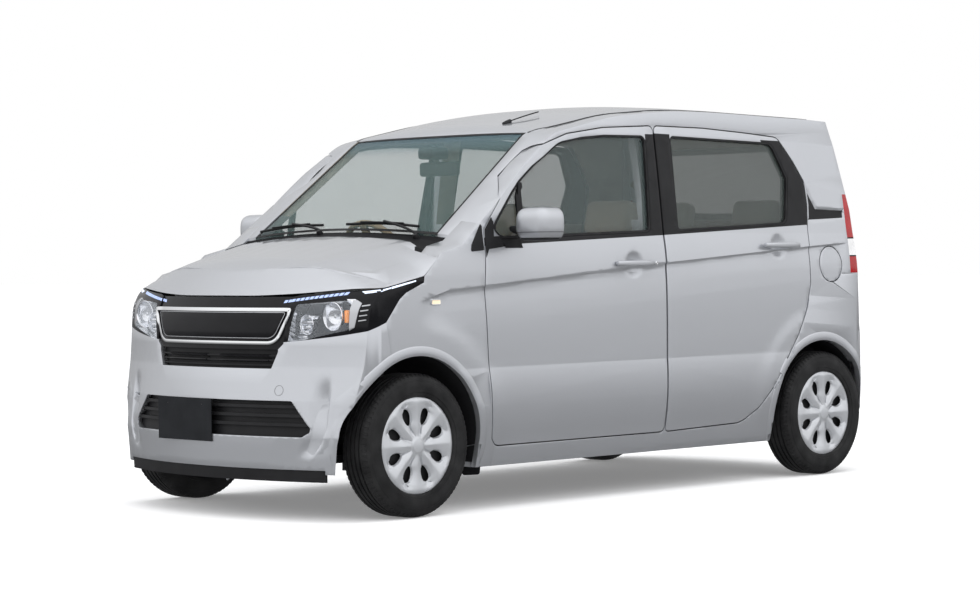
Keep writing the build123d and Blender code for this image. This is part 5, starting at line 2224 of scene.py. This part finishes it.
# ------------------------------------------------------------------ cabin
@dataclass
class Seats:
    """Padded seats, swelled as stuffed covers and sewn with channels."""

    shrink: float = 0.018
    voxel: float = 0.010
    pressure: float = 4.0
    frames: int = 20
    cap: float = 0.014
    channel: float = 0.0045
    seam: float = 0.010
    firm: float = 0.75

    def build(self) -> None:
        """Dress the seats."""
        for node, finish in (("front_seats", SEAT_CLOTH), ("rear_seats", REAR_CLOTH)):
            take(copy_node(node, node + "_pad"))
            bpy.ops.mesh.separate(type="LOOSE")
            pads = []
            for obj in list(bpy.context.selected_objects):
                verts = obj.data.vertices
                if node == "rear_seats" or sum(v.co.x for v in verts) > 0.0005 * len(verts):
                    pads.append(obj)
                else:
                    bpy.data.objects.remove(obj)
            pads.sort(key=lambda obj: min(v.co.z for v in obj.data.vertices))
            for k, pad in enumerate(pads):
                pad.name = pad.data.name = f"{node}_{k}_l"
                self.swell(pad)
                pair = [pad]
                if node == "front_seats":
                    pair.append(mirrored(pad, f"{node}_{k}_r"))
                for piece in pair:
                    dressed(piece, finish, Body.SHELL)
                if k == 0:
                    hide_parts(node)

    def swell(self, obj: Piece) -> None:
        """Shrink, remesh, blow up and sew one pad.

        Args:
            obj: The pad.
        """
        corners = [Vector(c) for c in obj.bound_box]
        centre = sum(corners, Vector()) / 8
        size = corners[6] - corners[0]
        shrink = [1 - self.shrink / max(0.06, s) for s in size]

        def smaller(co: Vector) -> Vector:
            """Draw a point towards the pad's centre."""
            return Vector(centre[k] + (co[k] - centre[k]) * shrink[k] for k in range(3))

        reshape(obj, smaller)
        voxels(obj, self.voxel)
        apply(obj)
        smooth(obj, 180.0)
        rest = [v.co.copy() for v in obj.data.vertices]
        cloth = obj.modifiers.new("stuffing", "CLOTH")
        cloth.settings.use_pressure = True
        cloth.settings.uniform_pressure_force = self.pressure
        cloth.settings.effector_weights.gravity = 0.0
        scene = bpy.context.scene
        for frame in range(1, self.frames + 1):
            scene.frame_set(frame)
        take(obj)
        bpy.ops.object.modifier_apply(modifier=cloth.name)
        scene.frame_set(1)
        for vertex, start in zip(obj.data.vertices, rest):
            move = vertex.co - start
            if move.length > self.cap:
                vertex.co = start + move.normalized() * self.cap
        self.sew(obj, centre, size)
        more = obj.modifiers.new("soft", "SUBSURF")
        more.levels = more.render_levels = 1
        apply(obj)
        smooth(obj, 180.0)

    def sew(self, obj: Piece, centre: Vector, size: Vector) -> None:
        """Press seams into a pad: two channels along it, about a quarter of its width either side
        of the middle, four on a wide bench and none on a narrow pad.

        Args:
            obj: The pad.
            centre: Its middle.
            size: Its extent.
        """
        obj.data.update()
        normals = [v.normal.copy() for v in obj.data.vertices]
        lines = (-0.24, 0.24) if size.x < 0.7 else (-0.40, -0.13, 0.13, 0.40)
        for vertex, normal in zip(obj.data.vertices, normals):
            if size.x < 0.35:
                continue
            x = vertex.co.x - centre.x
            pull = sum(math.exp(-((x - size.x * u) / self.seam) ** 2) for u in lines)
            vertex.co -= normal * self.channel * pull * max(0.0, 1.0 - abs(normal.x) * 1.5)


@dataclass
class Cabin:
    """Dashboard with its meter hood and screen, steering wheel and visors."""

    def build(self) -> None:
        """Build the cabin's hard pieces."""
        dash = copy_node("dashboard", "dash_shell")
        rounded(dash, 0.012, 3, 35.0)
        dressed(dash, DASH, Body.SHELL, "dashboard")
        paint(dash, TRIM_GREIGE, lambda c, n: n.y > 0.4 and 0.80 < c.z < 0.90)
        low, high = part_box("dashboard")
        hump = block("meter_hood", (-0.47, high[1] - 0.23, high[2] - 0.03),
                     (-0.21, high[1] - 0.035, high[2] + 0.045), 0.022)
        dressed(hump, DASH, Body.SHELL)
        screen = block("centre_screen", (-0.09, high[1] - 0.035, high[2] - 0.125),
                       (0.09, high[1] + 0.006, high[2] - 0.012), 0.006)
        dressed(screen, GLOSS_BLACK, Body.SHELL)
        wheel = FRAME["nodes"]["steering_wheel"]
        coat(wheel, TAN)
        smooth(wheel, 40.0)
        visors = [block(f"visor_{side}", (side * 0.33 - 0.17, -0.36, 1.487),
                        (side * 0.33 + 0.17, -0.20, 1.503), 0.007) for side in SIDES]
        dressed(joined(visors, "sun_visors"), TRIM_GREIGE, Body.SHELL)


# ------------------------------------------------------------------ studio
@dataclass
class Studio:
    """Camera, lights and floor."""

    eye: Point = (8.026229, -8.136852, 1.005250)
    yaw: float = 44.96691559
    pitch: float = 0.99374044
    roll: float = -0.60814172
    focal: float = 2629.018
    frame_width: float = 980.0
    glow: float = 1.0
    tones: Rows = (
        (0.0, 0.20), (1.0, 1.25), (0.43, 0.26), (0.492, 0.52), (0.535, 0.96), (0.68, 1.12))
    away: Point2 = (0.05, 0.70)
    away_tone: float = 0.58
    boxes: tuple[tuple[str, Point, Point, Point2, float], ...] = (
        ("top_box", (0.3, 0.2, 5.2), (0, 0, 0), (4.0, 7.0), 130),
        ("side_box", (8.0, -2.5, 4.6), (0.6, 0.2, 0.8), (7.0, 3.0), 90),
        ("front_box", (-2.5, -8.0, 3.8), (0, -1.5, 0.7), (6.0, 3.0), 60))

    def camera(self) -> None:
        """Set the camera at the viewing angle."""
        a, e, roll = (math.radians(v) for v in (self.yaw, self.pitch, self.roll))
        back = Vector((math.sin(a) * math.cos(e), -math.cos(a) * math.cos(e), math.sin(e)))
        right = Vector((math.cos(a), math.sin(a), 0.0))
        up = back.cross(right)
        r = right * math.cos(roll) + up * math.sin(roll)
        u = up * math.cos(roll) - right * math.sin(roll)
        data = bpy.data.cameras.new("camera")
        data.sensor_width = 36.0
        data.lens = self.focal / self.frame_width * 36.0
        data.clip_end = 100.0
        obj = linked("camera", data)
        obj.matrix_world = Matrix((r, u, back)).transposed().to_4x4()
        obj.location = self.eye
        bpy.context.scene.camera = obj

    def area(self, name: str, at: Point, to: Point, size: Point2, power: float) -> None:
        """A white soft box.

        Args:
            name: The light's name.
            at: Where it stands.
            to: What it points at.
            size: Its width and height.
            power: Watts.
        """
        data = bpy.data.lights.new(name, "AREA")
        data.shape = "RECTANGLE"
        data.size, data.size_y = size
        data.energy = power
        obj = linked(name, data)
        obj.location = at
        obj.visible_glossy = False
        obj.rotation_mode = "QUATERNION"
        obj.rotation_quaternion = (Vector(to) - Vector(at)).to_track_quat("-Z", "Y")

    def sky(self) -> None:
        """A soft room: dark low down, bright overhead, dimmer away from the eye, white to it."""
        world = bpy.data.worlds.new("studio")
        world.use_nodes = True
        tree = world.node_tree
        back = tree.nodes["Background"]
        place, split, half, ramp, far, fall, dim, path, mix = (
            tree.nodes.new("ShaderNode" + kind) for kind in (
                "TexCoord", "SeparateXYZ", "Math", "ValToRGB", "VectorMath", "MapRange",
                "VectorMath", "LightPath", "Mix"))
        half.operation = "MULTIPLY_ADD"
        half.inputs[1].default_value = half.inputs[2].default_value = 0.5
        for index, (spot, tone) in enumerate(self.tones):
            item = (ramp.color_ramp.elements[index] if index < 2
                    else ramp.color_ramp.elements.new(spot))
            item.position = spot
            item.color = (tone, tone * 1.005, tone * 1.02, 1.0)
        far.operation = "DOT_PRODUCT"
        far.inputs[1].default_value = (-math.sin(math.radians(self.yaw)),
                                       math.cos(math.radians(self.yaw)), 0.0)
        for name, value in zip(("From Min", "From Max", "To Min", "To Max"),
                               (*self.away, 1.0, self.away_tone)):
            fall.inputs[name].default_value = value
        dim.operation = "SCALE"
        mix.data_type = "RGBA"
        mix.inputs["B"].default_value = (1.0, 1.0, 1.0, 1.0)
        for source, out, target, into in (
                (place, "Generated", split, "Vector"), (split, "Z", half, 0),
                (half, "Value", ramp, "Fac"), (place, "Generated", far, 0),
                (far, "Value", fall, "Value"), (ramp, "Color", dim, 0),
                (fall, "Result", dim, "Scale"), (dim, "Vector", mix, "A"),
                (path, "Is Camera Ray", mix, "Factor"), (mix, "Result", back, "Color")):
            tree.links.new(source.outputs[out], target.inputs[into])
        back.inputs["Strength"].default_value = self.glow
        bpy.context.scene.world = world

    def build(self) -> None:
        """Build the camera, the world, the floor and the lights."""
        self.camera()
        self.sky()
        bpy.context.scene.view_settings.view_transform = "Standard"
        clear()
        bpy.ops.mesh.primitive_plane_add(size=160.0, location=(0, 0, -0.002))
        floor = made("floor")
        settle(floor)
        floor.data.materials.append(FLOOR.material())
        floor.visible_glossy = False
        for box in self.boxes:
            self.area(*box)


FRAME: dict = {}


def main() -> None:
    """Build the sub-assemblies in order."""
    logging.basicConfig(level=logging.INFO)
    FRAME.update(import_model())
    Studio().build()
    Carried().build()
    nose = Surface.over("front_bumper", "grille_panel", "headlamps", "lower_grille", "hood",
                        "fenders")
    work = BodyWork()
    work.build()
    surface = Surface(*work.pieces.values())
    panes = Surface(*work.panes)
    for side in SIDES:
        SideTrim(side, surface, panes, work.flank).build()
    RoofMouldings(surface).build()
    Mirrors().build()
    Headlamps(nose).build()
    Front(nose).build()
    ScreenTrim(Surface.over("windshield", "cowl", "roof")).build()
    Rear(Surface.over("tailgate", "tailgate_glass", "rear_bumper")).build()
    for row in "fr":
        for side, tail in SIDES.items():
            RoadWheel(row + tail, Body[f"WHEEL_{row}{tail}".upper()], side).build()
    Cabin().build()
    Seats().build()


if __name__ == "__main__":
    main()
